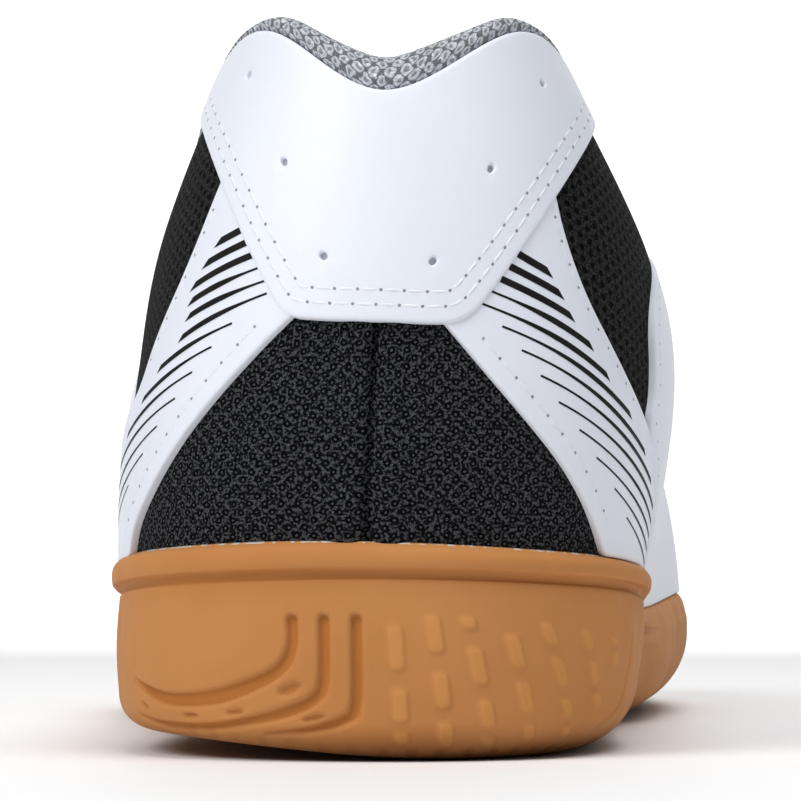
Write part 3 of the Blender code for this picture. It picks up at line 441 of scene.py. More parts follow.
def wall_point(u, v):
    """The upper's outside: u runs round the shoe, and v from the footbed, 0, to the top edge, 1."""
    u, v = np.broadcast_arrays(np.asarray(u, float), np.asarray(v, float))
    row = {name: curve(u) for name, curve in CURVE.items()}
    out_x, out_y = outward(u)
    base = stack(row["base_x"], row["base_y"], row["base_z"])
    top = stack(row["top_x"], row["top_y"], row["top_z"])
    foot = base + stack(out_x * row["lean"], out_y * row["lean"], row["rise"])
    head = top + stack(out_x * row["reach"], out_y * row["reach"], -row["drop"])
    v = v[..., None]
    return base * (1 - v) ** 3 + 3 * foot * v * (1 - v) ** 2 + 3 * head * v**2 * (1 - v) + top * v**3


def skin(u, v, lift=0.0):
    """A point lift millimetres outside the upper's outer face."""
    step = 1e-4
    u, v, lift = np.broadcast_arrays(np.asarray(u, float), np.asarray(v, float), np.asarray(lift, float))
    along = wall_point(u + step, v) - wall_point(u - step, v)
    up = wall_point(u, v + step) - wall_point(u, v - step)
    return wall_point(u, v) + unit(np.cross(up, along)) * lift[..., None]


def level(u, z):
    """The v at which the wall reaches height z."""
    u, z = np.broadcast_arrays(np.asarray(u, float), np.asarray(z, float))
    low, high = np.zeros(u.shape), np.ones(u.shape)
    for _ in range(HALVINGS):
        middle = (low + high) / 2
        under = wall_point(u, middle)[..., 2] < z
        low, high = np.where(under, middle, low), np.where(under, high, middle)
    return (low + high) / 2


LIP_U = np.linspace(0, 1, LIP_POINTS)
LIP_V = level(LIP_U, CURVE["lip_z"](LIP_U))


def lip_v(u):
    return np.interp(np.asarray(u) % 1.0, LIP_U, LIP_V)


def place(around):
    """u at a distance round the base from the heel's back, positive to the medial side."""
    return (-np.asarray(around, float) / PERIMETER) % 1.0


def fade(value, start, end):
    """0 at start, 1 at end, and smooth between."""
    share = np.clip((np.asarray(value, float) - start) / (end - start), 0, 1)
    return share * share * (3 - 2 * share)


def within(value, ends, run):
    """1 between two ends and 0 outside them, with a smooth run inside each end."""
    return fade(value, ends[0], ends[0] + run) * (1 - fade(value, ends[1] - run, ends[1]))


def on_wall(around, share, lift=0.0):
    """A point by distance round and by share of the wall from the sole's lip to the top edge."""
    u = place(around)
    foot = lip_v(u)
    return skin(u, foot + share * (1 - foot), lift)


def wrap(pattern, lift=0.0):
    """Points of a flat pattern on the upper."""
    pattern = np.asarray(pattern, float)
    return on_wall(pattern[..., 0], pattern[..., 1] / WALL_SPAN, lift)


def ground(x, y):
    """Height of the tread over the floor at the arch, the toe and the heel's lateral corner."""
    bevel = HEEL_BEVEL * fade(x, *BEVEL_ACROSS) * fade(y, *BEVEL_ALONG)
    arch = np.clip((y - ARCH_SPAN[0]) / (ARCH_SPAN[1] - ARCH_SPAN[0]), 0, 1)
    toe = np.clip((y - TOE_START) / (SHOE_LENGTH - TOE_START), 0, None)
    return bevel + ARCH_RISE * np.sin(np.pi * arch) ** 2 + TOE_SPRING * toe**2


def to_world(points):
    return (np.asarray(points, float) - MIDDLE) * MM


def spaced(*stretches):
    """Numbers along stretches of start, end and step, with the last end."""
    runs = []
    for start, end, step in stretches:
        runs.append(np.linspace(start, end, max(1, round(abs(end - start) / step)), endpoint=False))
    return np.concatenate([*runs, [stretches[-1][1]]])


def round_the_base(zones, step):
    """Distances once round the base, finer in zones near the heel's back, each with its end and step."""
    turn = -PERIMETER
    ends = [0.0, *(end for end, _ in zones)]
    near = [(-start, -end, fine) for start, (end, fine) in zip(ends, zones)]
    back = [(turn + end, turn + start, fine) for start, (end, fine) in zip(ends, zones)]
    return spaced(*near, (-ends[-1], turn + ends[-1], step), *back[::-1])


def running(points):
    """The length run up to each point along the first axis."""
    steps = np.linalg.norm(np.diff(points, axis=0), axis=-1)
    return np.concatenate([np.zeros((1, *steps.shape[1:])), np.cumsum(steps, axis=0)])


def along_line(at, run, line):
    """Flat points at the given lengths of a line."""
    return np.stack([np.interp(at, run, line[:, 0]), np.interp(at, run, line[:, 1])], axis=-1)


def unit(vectors):
    return vectors / np.linalg.norm(vectors, axis=-1, keepdims=True)


def between(a, b, c, d, t):
    """The point at share t from b to c on a smooth curve that also goes through a and d."""
    bend = (2 * a - 5 * b + 4 * c - d) * t**2 + (3 * b - a - 3 * c + d) * t**3
    return b + ((c - a) * t + bend) / 2


def smooth_line(points, step):
    """Points about step apart on a smooth curve through the given points."""
    points = np.asarray(points, float)
    padded = np.concatenate([[2 * points[0] - points[1]], points, [2 * points[-1] - points[-2]]])
    line = []
    for a, b, c, d in zip(padded[:-3], padded[1:-2], padded[2:-1], padded[3:]):
        count = max(1, int(np.ceil(np.linalg.norm(c - b) / step)))
        t = np.linspace(0, 1, count, endpoint=False)[:, None]
        line.append(between(a, b, c, d, t))
    return np.concatenate([*line, points[-1:]])


def grid_faces(rows, columns, round_columns=False, round_rows=False):
    """Quads of a grid that is numbered row by row."""
    r = np.arange(rows if round_rows else rows - 1)[:, None]
    c = np.arange(columns if round_columns else columns - 1)[None, :]
    here, above = r * columns, (r + 1) % rows * columns
    beside = (c + 1) % columns
    return np.stack([here + c, above + c, above + beside, here + beside], axis=-1).reshape(-1, 4).tolist()


def tube_faces(rows, columns):
    """Faces of a tube of rings that is closed at both ends."""
    caps = [list(range(columns)), [(rows - 1) * columns + i for i in range(columns)][::-1]]
    return grid_faces(rows, columns, round_columns=True) + caps


def join(parts):
    """The points and faces of several meshes as one mesh."""
    points, faces, count = [], [], 0
    for part_points, part_faces in parts:
        points.append(part_points)
        faces += [[i + count for i in face] for face in part_faces]
        count += len(part_points)
    return np.concatenate(points), faces


def facing(points, faces, direction, number=0):
    """The faces, turned over if the numbered one looks away from the direction."""
    a, b, c = points[list(faces[number][:3])]
    if np.dot(np.cross(b - a, c - a), direction) < 0:
        return [face[::-1] for face in faces]
    return faces


def add_object(name, data):
    obj = bpy.data.objects.new(name, data)
    bpy.context.scene.collection.objects.link(obj)
    return obj


def add_mesh(name, points, faces, materials):
    """A smooth mesh from points on the last."""
    mesh = bpy.data.meshes.new(name)
    mesh.from_pydata(to_world(points).tolist(), [], faces)
    mesh.shade_smooth()
    for material in materials:
        mesh.materials.append(material)
    return add_object(name, mesh)


def add_piece(name, points, faces, materials, slot=None, replaces=(), outside=None, flat=None, relief=None):
    """A mesh that rides on the shoe. outside is one point that the first face looks towards.

    flat, two coordinates in millimetres, and relief are attributes for the materials.
    """
    points = np.asarray(points, float).reshape(-1, 3)
    if outside is not None:
        faces = facing(points, faces, np.asarray(outside) - points[list(faces[0][:3])].mean(axis=0))
    obj = add_mesh(name, points, faces, materials)
    if flat is not None:
        layer = obj.data.attributes.new("flat", "FLOAT_VECTOR", "POINT")
        layer.data.foreach_set("vector", stack(*flat, 0.0).astype(np.float32).ravel())
    if relief is not None:
        layer = obj.data.attributes.new("relief", "FLOAT", "POINT")
        layer.data.foreach_set("value", relief.astype(np.float32))
    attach(obj, "root")
    if replaces:
        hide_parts(*replaces)
    return obj


# Materials
NOISE_RANGE = (0.3, 0.7)  # where most of a noise lies
FIBRE_RANGE = (0.35, 0.7)
YARN_SPECULAR = 0.05
GUM_COLORS = {
    "shade": (0.49, 0.210, 0.070),
    "light": (0.545, 0.244, 0.086),
    "raised": (0.60, 0.275, 0.088),
    # painted shade in the grooves and dimples
    "sunk": (0.46, 0.178, 0.047),
    # pale dabs on the lip's crest: partly glue, partly a painted highlight
    "glue_and_highlight": (0.72, 0.66, 0.58),
    # painted shade at the gum's foot, next to the floor
    "foot": (0.10, 0.034, 0.010),
}
GUM_PAINTED_SHADE_HEIGHT = 4.5  # height over the floor below which the gum is darkened with painted shade
KNIT_COLORS = {
    "gap": (0.004, 0.004, 0.005),
    "dark": (0.030, 0.031, 0.035),
    "pale": (0.100, 0.104, 0.115),
    "hole": (0.002, 0.002, 0.002),
    # painted highlight in the middle of each hole
    "painted_highlight": (0.080, 0.083, 0.092),
}
MESH_COLORS = {
    "gap": (0.009, 0.009, 0.009),
    "dark": (0.019, 0.020, 0.020),
    "pale": (0.058, 0.060, 0.059),
    "hole": (0.001, 0.001, 0.001),
}
RING_COLORS = {
    "dark": (0.48, 0.51, 0.57),
    "pale": (0.90, 0.93, 0.99),
    "middle": (0.16, 0.175, 0.20),
    "gap": (0.07, 0.075, 0.085),
}
LEATHER_COLORS = ((0.785, 0.82, 0.91), (0.825, 0.855, 0.935))


def new_material(name):
    material = bpy.data.materials.new(name)
    material.use_nodes = True
    return material, material.node_tree, material.node_tree.nodes["Principled BSDF"]


def feed(tree, node, inputs):
    """Link or set each named input of a node."""
    for key, value in inputs.items():
        if isinstance(value, bpy.types.NodeSocket):
            tree.links.new(value, node.inputs[key])
        else:
            node.inputs[key].default_value = value


def add_node(tree, kind, inputs, **settings):
    made = tree.nodes.new(kind)
    for key, value in settings.items():
        setattr(made, key, value)
    feed(tree, made, inputs)
    return made


def calc(tree, operation, first, second=0.0):
    return add_node(tree, "ShaderNodeMath", {0: first, 1: second}, operation=operation).outputs[0]


def vector(tree, operation, first, second=(0.0, 0.0, 0.0)):
    return add_node(tree, "ShaderNodeVectorMath", {0: first, 1: second}, operation=operation).outputs[0]


def span(tree, value, low, high, first=0.0, last=1.0):
    """A smooth step of value between low and high."""
    inputs = {"Value": value, "From Min": low, "From Max": high, "To Min": first, "To Max": last}
    return add_node(tree, "ShaderNodeMapRange", inputs, interpolation_type="SMOOTHSTEP").outputs["Result"]


def blend_color(tree, factor, first, second):
    colors = [c if isinstance(c, bpy.types.NodeSocket) else (*c, 1.0) for c in (first, second)]
    inputs = {0: factor, 6: colors[0], 7: colors[1]}
    return add_node(tree, "ShaderNodeMix", inputs, data_type="RGBA").outputs[2]


def noise(tree, coordinates, scale, detail=2.0, output="Fac"):
    inputs = {"Vector": coordinates, "Scale": scale, "Detail": detail}
    return add_node(tree, "ShaderNodeTexNoise", inputs).outputs[output]


def cloud(tree, coordinates, scale, detail=2.0, first=0.0, last=1.0):
    """A noise stretched to run from first to last."""
    return span(tree, noise(tree, coordinates, scale, detail), *NOISE_RANGE, first, last)


def attribute(tree, name, output):
    return add_node(tree, "ShaderNodeAttribute", {}, attribute_name=name).outputs[output]


def place_in_object(tree):
    return add_node(tree, "ShaderNodeTexCoord", {}).outputs["Object"]


def bump(tree, shader, height, distance, strength=1.0):
    inputs = {"Height": height, "Distance": distance * MM, "Strength": strength}
    feed(tree, shader, {"Normal": add_node(tree, "ShaderNodeBump", inputs).outputs["Normal"]})


def lattice(tree, flat, pitch, stretch=(1.0, 1.0)):
    """Distance from the nearest point of a staggered lattice, in millimetres."""
    sides = []
    for shift in (0.0, 0.5):
        moved = vector(tree, "MULTIPLY", flat, (1 / pitch[0], 1 / pitch[1], 0.0))
        moved = vector(tree, "ADD", moved, (shift, shift, 0.0))
        moved = vector(tree, "FRACTION", moved)
        moved = vector(tree, "SUBTRACT", moved, (0.5, 0.5, 0.0))
        moved = vector(tree, "MULTIPLY", moved, (pitch[0] * stretch[0], pitch[1] * stretch[1], 0.0))
        length = add_node(tree, "ShaderNodeVectorMath", {0: moved}, operation="LENGTH")
        sides.append(length.outputs["Value"])
    return calc(tree, "MINIMUM", *sides)


def wandering(tree, scale, amount):
    """The piece's flat coordinates, which wander a little as yarns do."""
    flat = attribute(tree, "flat", "Vector")
    shift = vector(tree, "SUBTRACT", noise(tree, flat, scale, output="Color"), (0.5, 0.5, 0.5))
    return vector(tree, "ADD", flat, vector(tree, "MULTIPLY", shift, (amount, amount, 0.0)))


def yarns(tree, flat, scale, edge, fine, colors):
    """Curled yarn and its fibres as two noises, and their colour."""
    yarn = span(tree, noise(tree, flat, scale, 1.0), *edge)
    fibre = noise(tree, flat, fine)
    pale = blend_color(tree, span(tree, fibre, *FIBRE_RANGE), colors["dark"], colors["pale"])
    return yarn, fibre, blend_color(tree, yarn, colors["gap"], pale)


def gum_material():
    material, tree, shader = new_material("gum_rubber")
    spot = place_in_object(tree)
    color = blend_color(tree, cloud(tree, spot, 45.0, 3.0), GUM_COLORS["shade"], GUM_COLORS["light"])
    relief = attribute(tree, "relief", "Fac")
    color = blend_color(tree, span(tree, relief, 0.1, 0.45), color, GUM_COLORS["raised"])
    # painted shade: grooves, dimples and the groove under the lip are darkened
    color = blend_color(tree, span(tree, relief, -0.2, -0.75), color, GUM_COLORS["sunk"])
    # pale dabs on the crest: partly glue, partly a painted highlight
    dabs = span(tree, noise(tree, spot, 900.0), 0.46, 0.6)
    glue_and_highlight = calc(tree, "MULTIPLY", span(tree, relief, 0.55, 0.9), dabs)
    color = blend_color(tree, glue_and_highlight, color, GUM_COLORS["glue_and_highlight"])
    height = add_node(tree, "ShaderNodeSeparateXYZ", {0: spot}).outputs["Z"]
    # painted shade: the gum darkens towards the floor
    low = span(tree, height, GUM_PAINTED_SHADE_HEIGHT * MM, 0.0, 0.0, 0.8)
    feed(tree, shader, {
        "Base Color": blend_color(tree, low, color, GUM_COLORS["foot"]),
        "Roughness": cloud(tree, spot, 220.0, first=0.52, last=0.64),
        "Specular IOR Level": 0.03,
        "Subsurface Weight": 0.12,
        "Subsurface Radius": (1.0, 0.45, 0.15),
        "Subsurface Scale": 2.0 * MM,
    })
    bump(tree, shader, noise(tree, spot, 1600.0, 3.0), 0.05, 0.35)
    return material


def knit_material():
    """Tight knit: curled dark yarn with small holes, and a painted highlight in the middle of each."""
    material, tree, shader = new_material("tight_knit")
    flat = wandering(tree, 0.9, 0.45)
    away = lattice(tree, flat, (1.95, 1.9))
    hole = span(tree, away, 0.50, 0.32)
    # painted highlight: a pale spot in the middle of each hole
    painted_highlight = span(tree, away, 0.19, 0.09)
    yarn, fibre, color = yarns(tree, flat, 2.5, (0.42, 0.54), 6.0, KNIT_COLORS)
    color = blend_color(tree, hole, color, KNIT_COLORS["hole"])
    color = blend_color(tree, painted_highlight, color, KNIT_COLORS["painted_highlight"])
    feed(tree, shader, {"Base Color": color, "Roughness": 0.85, "Specular IOR Level": YARN_SPECULAR})
    height = calc(tree, "SUBTRACT", calc(tree, "ADD", yarn, calc(tree, "MULTIPLY", fibre, 0.5)), hole)
    bump(tree, shader, height, 0.3)
    return material


def mesh_material():
    """Open mesh: dark holes between wandering yarns."""
    material, tree, shader = new_material("open_mesh")
    flat = wandering(tree, 0.7, 0.35)
    hole = span(tree, lattice(tree, flat, (3.4, 1.5), (0.9, 1.1)), 0.52, 0.36)
    yarn, _, color = yarns(tree, flat, 2.4, (0.38, 0.66), 7.0, MESH_COLORS)
    color = blend_color(tree, hole, color, MESH_COLORS["hole"])
    feed(tree, shader, {"Base Color": color, "Roughness": 0.8, "Specular IOR Level": YARN_SPECULAR})
    bump(tree, shader, calc(tree, "SUBTRACT", calc(tree, "MULTIPLY", yarn, 0.5), hole), 0.4)
    return material


def ring_material():
    """Collar lining: pale rings of yarn with gray middles and dark gaps between."""
    material, tree, shader = new_material("ring_lining")
    flat = wandering(tree, 0.8, 1.3)
    away = lattice(tree, flat, (1.75, 2.15), (1.1, 1.0))
    middle = span(tree, away, 0.34, 0.16)
    gap = span(tree, away, 0.60, 0.76)
    fibre = cloud(tree, flat, 4.5, 3.0)
    color = blend_color(tree, fibre, RING_COLORS["dark"], RING_COLORS["pale"])
    color = blend_color(tree, calc(tree, "MULTIPLY", middle, 0.7), color, RING_COLORS["middle"])
    color = blend_color(tree, calc(tree, "MULTIPLY", gap, 0.85), color, RING_COLORS["gap"])
    feed(tree, shader, {"Base Color": color, "Roughness": 0.9, "Sheen Weight": 0.2})
    hollow = calc(tree, "ADD", gap, middle)
    bump(tree, shader, calc(tree, "SUBTRACT", calc(tree, "MULTIPLY", fibre, 0.5), hollow), 0.4, 0.9)
    return material


def leather_material():
    material, tree, shader = new_material("white_leather")
    spot = place_in_object(tree)
    feed(tree, shader, {
        "Base Color": blend_color(tree, cloud(tree, spot, 30.0), *LEATHER_COLORS),
        "Roughness": cloud(tree, spot, 900.0, first=0.42, last=0.52),
        "Specular IOR Level": 0.4,
    })
    grain = add_node(tree, "ShaderNodeTexVoronoi", {"Vector": spot, "Scale": 1500.0}).outputs["Distance"]
    height = calc(tree, "ADD", calc(tree, "MULTIPLY", grain, 0.5), noise(tree, spot, 400.0))
    bump(tree, shader, height, 0.06, 0.35)
    return material


def cloth_material(name, dark, pale, pitch):
    """Plain woven cloth from two sets of waves."""
    material, tree, shader = new_material(name)
    flat = wandering(tree, 0.5, 0.2)
    turn = 2 * np.pi / pitch
    waves = vector(tree, "SINE", vector(tree, "MULTIPLY", flat, (turn, turn, 0.0)))
    parts = add_node(tree, "ShaderNodeSeparateXYZ", {0: waves}).outputs
    weave = span(tree, calc(tree, "MULTIPLY", parts[0], parts[1]), -0.8, 0.8)
    color = blend_color(tree, weave, dark, pale)
    feed(tree, shader, {"Base Color": color, "Roughness": 0.9, "Sheen Weight": 0.15})
    fibre = noise(tree, flat, 3.0, 3.0)
    bump(tree, shader, calc(tree, "ADD", weave, calc(tree, "MULTIPLY", fibre, 0.6)), 0.18, 0.8)
    return material


def smooth_material(name, first, second, roughness, scale, specular=0.5):
    """A plain finish whose colour and roughness vary a little."""
    material, tree, shader = new_material(name)
    spot = place_in_object(tree)
    shade = cloud(tree, spot, scale)
    feed(tree, shader, {
        "Base Color": blend_color(tree, shade, first, second),
        "Roughness": span(tree, shade, 0.0, 1.0, roughness - 0.05, roughness + 0.05),
        "Specular IOR Level": specular,
    })
    bump(tree, shader, noise(tree, spot, scale * 6), 0.04, 0.3)
    return material


GUM = gum_material()
KNIT = knit_material()
MESH = mesh_material()
RINGS = ring_material()
LEATHER = leather_material()
LINING = cloth_material("lining_cloth", (0.10, 0.105, 0.11), (0.20, 0.205, 0.21), 0.9)
FOOTBED = cloth_material("footbed_cloth", (0.16, 0.165, 0.17), (0.30, 0.31, 0.32), 1.1)
TONGUE_CLOTH = cloth_material("tongue_cloth", (0.62, 0.64, 0.68), (0.84, 0.85, 0.88), 1.6)
LACE_CLOTH = cloth_material("lace_cloth", (0.66, 0.67, 0.70), (0.88, 0.88, 0.90), 0.9)
PRINT = smooth_material("black_print", (0.005, 0.005, 0.006), (0.009, 0.009, 0.010), 0.6, 300.0, 0.2)
STITCH = smooth_material("white_thread", (0.76, 0.79, 0.87), (0.82, 0.85, 0.92), 0.5, 900.0)
NEEDLE = smooth_material("needle_hole", (0.20, 0.21, 0.23), (0.32, 0.33, 0.35), 0.9, 900.0)
# grey floors of the perforations: painted shade in place of the white leather inside them
PIT_PAINTED_SHADE = smooth_material("perforation_floor_painted_shade", (0.40, 0.42, 0.45), (0.50, 0.52, 0.55), 0.9, 900.0)
DARK = smooth_material("eyelet_dark", (0.02, 0.02, 0.02), (0.04, 0.04, 0.04), 0.8, 600.0)
FLOOR = smooth_material("pale_floor", (0.90, 0.90, 0.90), (0.92, 0.92, 0.92), 0.6, 3.0)


# Outsole
def line_distance(around, height, line):
    """Distance to a line of points on the heel's side, and the line's width at the nearest point."""
    best = np.full(around.shape, 1e9)
    width = np.zeros(around.shape)
    for (a0, z0, w0), (a1, z1, w1) in zip(line[:-1], line[1:]):
        run = (a1 - a0) ** 2 + (z1 - z0) ** 2
        t = np.clip(((around - a0) * (a1 - a0) + (height - z0) * (z1 - z0)) / run, 0, 1)
        distance = np.hypot(around - a0 - t * (a1 - a0), height - z0 - t * (z1 - z0))
        nearer = distance < best
        best = np.where(nearer, distance, best)
        width = np.where(nearer, w0 + t * (w1 - w0), width)
    return best, width


def side_relief(around, height, over):
    """How far the heel's side stands out: grooves and dimples below 0, dashes above.

    height is over the floor, and over is over the tread's edge.
    """
    cuts = np.zeros(around.shape)
    for corners in GROOVES.values():
        distance, width = line_distance(around, height, smooth_line(corners, GROOVE_STEP))
        cut = 1 - fade(distance, width / 2 - GROOVE_SOFT, width / 2 + GROOVE_SOFT)
        cuts = np.minimum(cuts, -GROOVE_DEPTH * np.minimum(1, width) * cut)
    for a, z, long, wide, slope in DIMPLES:
        turn = np.arctan(slope)
        run = (around - a) * np.cos(turn) + (height - z) * np.sin(turn)
        across = (height - z) * np.cos(turn) - (around - a) * np.sin(turn)
        gone = fade(np.hypot(run / long, across / wide), *DIMPLE_EDGE)
        cuts = np.minimum(cuts, -DIMPLE_DEPTH * (1 - gone))
    raised = np.zeros(around.shape)
    for top, foot, heights in DASH_COLUMNS:
        lean = (foot - top) / (heights[-1] - heights[0])
        for upper, lower in zip(heights[::2], heights[1::2]):
            middle = (upper + lower) / 2
            run = (height - middle) / np.cos(np.arctan(lean))
            across = (around - top - lean * (height - heights[0])) * np.cos(np.arctan(lean))
            beyond_run = np.maximum(np.abs(run) - (upper - lower) / 2 + DASH_CORNER, 0)
            beyond_across = np.maximum(np.abs(across) - DASH_HALF + DASH_CORNER, 0)
            beyond = np.hypot(beyond_run, beyond_across) - DASH_CORNER
            raised = np.maximum(raised, DASH_RISE * (1 - fade(beyond, *DASH_EDGE)))
    middle = np.abs((around / NOTCH_PITCH) % 1.0 - 0.5)
    notch = (1 - fade(middle, *NOTCH_EDGE)) * (1 - fade(over, *NOTCH_HEIGHT))
    notch = notch * within(around, NOTCH_SPAN, NOTCH_RUN)
    return cuts + raised - NOTCH_DEPTH * notch


def sole_side(arounds):
    """Rings from the lip's crest down the side and round the edge to the tread, with their relief."""
    u = place(arounds)
    seat = wall_point(u, lip_v(u))
    out_x, out_y = outward(u)
    front = fade(seat[:, 1], *LIP_FADES)
    lip = CURVE["lip_z"](u) + LIP_RISE * (1 - front)
    radius = CURVE["edge_r"](u)
    signed = np.where(arounds < -PERIMETER / 2, arounds + PERIMETER, arounds)
    taper = HEEL_TAPER * fade(signed, *TAPER_SPAN) * (1 - front)
    rings, reliefs = [], []

    def add_ring(z, out, slope):
        low = ground(seat[:, 0] + out_x * out, seat[:, 1] + out_y * out)
        relief = side_relief(signed, z, z - low) * (1 - fade(slope, *RELIEF_ENDS))
        away = out + relief * np.cos(slope)
        rings.append(stack(seat[:, 0] + out_x * away, seat[:, 1] + out_y * away, z - relief * np.sin(slope)))
        reliefs.append(relief)

    sink = (LIP_SINKS[0] + (LIP_SINKS[1] - LIP_SINKS[0]) * fade(signed, *SINK_SPAN)) * (1 - front)
    for below, out_heel, out_front in SIDE_PROFILE:
        crest = sink * (1 - fade(below, *SINK_ENDS))
        add_ring(lip - below - crest, out_heel + (out_front - out_heel) * front, 0.0)
        # the groove under the lip is marked for painted shade
        if LIP_GROOVE[0] < below < LIP_GROOVE[1]:
            reliefs[-1] = reliefs[-1] - GROOVE_MARK * (1 - front)
    # the crest's two rows are marked for the raised colour and pale dabs: glue and a painted highlight along
    # the crest
    for row in (0, 1):
        reliefs[row] = reliefs[row] + GLUE_AND_HIGHLIGHT * (1 - fade(np.abs(signed), *GLUE_AND_HIGHLIGHT_ENDS))
    wall_top = lip - SIDE_PROFILE[-1][0]
    wall_out = SIDE_PROFILE[-1][1] + (SIDE_PROFILE[-1][2] - SIDE_PROFILE[-1][1]) * front
    edge_top = ground(seat[:, 0] + out_x * wall_out, seat[:, 1] + out_y * wall_out) + radius
    for t in np.linspace(0, 1, SIDE_ROWS + 1)[1:]:
        swell = WALL_BULGE * np.sin(np.pi * t) * (1 - front)
        add_ring(wall_top + (edge_top - wall_top) * t, wall_out + swell - taper * t, 0.0)
    for angle in np.linspace(0, np.pi / 2, EDGE_ROWS + 1)[1:]:
        out = wall_out - taper - radius * (1 - np.cos(angle))
        z = ground(seat[:, 0] + out_x * out, seat[:, 1] + out_y * out) + radius * (1 - np.sin(angle))
        add_ring(z, out, angle)
    return np.array(rings), np.array(reliefs)


def tread(edge):
    """The tread inside the lowest ring, with bent grooves and fine ribs, row by row from heel to toe."""
    heel, toe = np.argmin(edge[:, 1]), np.argmax(edge[:, 1])
    rolled = np.roll(edge, -heel, axis=0)
    cut = (toe - heel) % len(edge)
    lateral, medial = rolled[:cut + 1], np.concatenate([rolled[cut:], rolled[:1]])[::-1]
    y = np.linspace(edge[heel, 1] + TREAD_MARGIN, edge[toe, 1] - TREAD_MARGIN, TREAD_GRID[0])
    left = np.interp(y, np.maximum.accumulate(lateral[:, 1]), lateral[:, 0])
    right = np.interp(y, np.maximum.accumulate(medial[:, 1]), medial[:, 0])
    w = np.linspace(0, 1, TREAD_GRID[1])
    x = left[:, None] + (right - left)[:, None] * w
    y = np.broadcast_to(y[:, None], x.shape)
    bent = y + TREAD_BEND * np.abs(x - MIDDLE[0]) / TREAD_REACH
    depth = np.zeros(x.shape)
    for spot in TREAD_PLACES:
        depth = np.maximum(depth, TREAD_DEPTH - np.abs(bent - spot))
    inner = fade(np.minimum(w, 1 - w) * (right - left)[:, None], *FINE_MARGIN)
    rib = 1 - fade(np.abs((bent / FINE_PITCH) % 1.0 - 0.5), *FINE_EDGE)
    for zone in FINE_ZONES:
        depth = np.maximum(depth, FINE_DEPTH * within(bent, zone, FINE_RUN) * rib * inner)
    return stack(x, y, ground(x, y) + depth)


def add_outsole():
    arounds = round_the_base(SOLE_ZONES, SOLE_STEP)[:-1]
    rings, reliefs = sole_side(arounds)
    u = place(arounds)
    inside = [skin(u, 0.0, GAP), skin(u, lip_v(u), GAP)]
    inside[0][:, 2] = CURVE["base_z"](u) - GAP
    inside[1][:, 2] -= SEAT_DROP
    side = np.concatenate([inside, rings])
    rows, columns = side.shape[:2]
    side = side.reshape(-1, 3)
    side_faces = facing(side, grid_faces(rows, columns, round_columns=True), (0, -1, 0), 2 * columns)
    sheet = tread(rings[-1])
    bottom = sheet.reshape(-1, 3)
    bottom_faces = facing(bottom, grid_faces(*sheet.shape[:2]), (0, 0, -1))
    relief = np.concatenate([np.zeros(2 * columns), reliefs.ravel(), np.zeros(len(bottom))])
    points, faces = join([(side, side_faces), (bottom, bottom_faces)])
    add_piece("sole", points, faces, [GUM], "gum", ["outsole"], relief=relief)


# Upper
UPPER_ZONES = ((3.0, 0.2), (60.0, 1.0))
UPPER_STEP = 2.5
UPPER_ROWS = 60
LINING_ROWS = 24
LINING_HIGH = 70.0
SEAM_DEPTH = 1.1
SEAM_HALF = 0.5
SEAM_PUFF = 0.5
SEAM_PUFF_AT = (2.4, 1.6)
SEAM_TOP = (0.50, 0.58)
SIDE_PUFF = 0.8  # how far the mesh swells between heel panel and saddle
SIDE_PUFF_AT = (54.0, 14.0)
SIDE_PUFF_FOOT = (0.5, 0.82)
SIDE_PUFF_HEAD = (0.95, 1.0)
VAMP_FROM = 120.0  # from here on the mesh runs across the vamp
TIGHT_EDGE = (40.0, 42.0)  # tight knit ends this far round at the sole, and less by this a share higher


def bell(value, middle, width):
    return np.exp(-(((value - middle) / width) ** 2))


def vamp_flat(points):
    """Flat coordinates across and along the vamp."""
    section = wall_point(KNOT["toe_tip"], np.linspace(1, 0, UPPER_ROWS))
    crown_x = np.interp(points[..., 1], section[:, 1], section[:, 0])
    crown_z = np.interp(points[..., 1], section[:, 1], np.maximum.accumulate(section[::-1, 2])[::-1])
    across = np.hypot(points[..., 0] - crown_x, crown_z - points[..., 2])
    return np.sign(points[..., 0] - crown_x) * across, points[..., 1]


def add_upper():
    turn = -PERIMETER
    arounds = round_the_base(UPPER_ZONES, UPPER_STEP)
    around, v = np.meshgrid(arounds, np.linspace(0, 1, UPPER_ROWS))
    u = -around / PERIMETER
    foot = lip_v(u)
    share = (v - foot) / (1 - foot)
    off_seam = np.minimum(np.abs(around), np.abs(around - turn))
    seam = SEAM_PUFF * bell(off_seam, *SEAM_PUFF_AT) - SEAM_DEPTH * bell(off_seam, 0, SEAM_HALF)
    swell = SIDE_PUFF * bell(off_seam, *SIDE_PUFF_AT) * fade(share, *SIDE_PUFF_FOOT)
    lift = seam * (1 - fade(share, *SEAM_TOP)) + swell * (1 - fade(share, *SIDE_PUFF_HEAD))
    outer = skin(u, v, lift)
    inner_around, inner_v = np.meshgrid(arounds, np.linspace(1, 0, LINING_ROWS))
    inner = skin(-inner_around / PERIMETER, inner_v, -WALL)
    across, along = vamp_flat(outer)
    on_vamp = (around < -VAMP_FROM) & (around > turn + VAMP_FROM)
    first = np.concatenate([np.where(on_vamp, across, around), inner_around])
    second = np.concatenate([np.where(on_vamp, along, running(outer)), inner_v * LINING_HIGH])
    points = np.concatenate([outer, inner])
    faces = grid_faces(len(points), len(arounds))
    obj = add_piece(
        "knit_upper", points, faces, [KNIT, MESH, LINING], "knit", ["upper"],
        outside=BEHIND, flat=(first, second),
    )
    kinds = np.full((len(points) - 1, len(arounds) - 1), 2, np.int32)
    kinds[:UPPER_ROWS - 1] = (off_seam >= TIGHT_EDGE[0] - TIGHT_EDGE[1] * share)[:-1, :-1]
    obj.data.polygons.foreach_set("material_index", kinds.ravel())


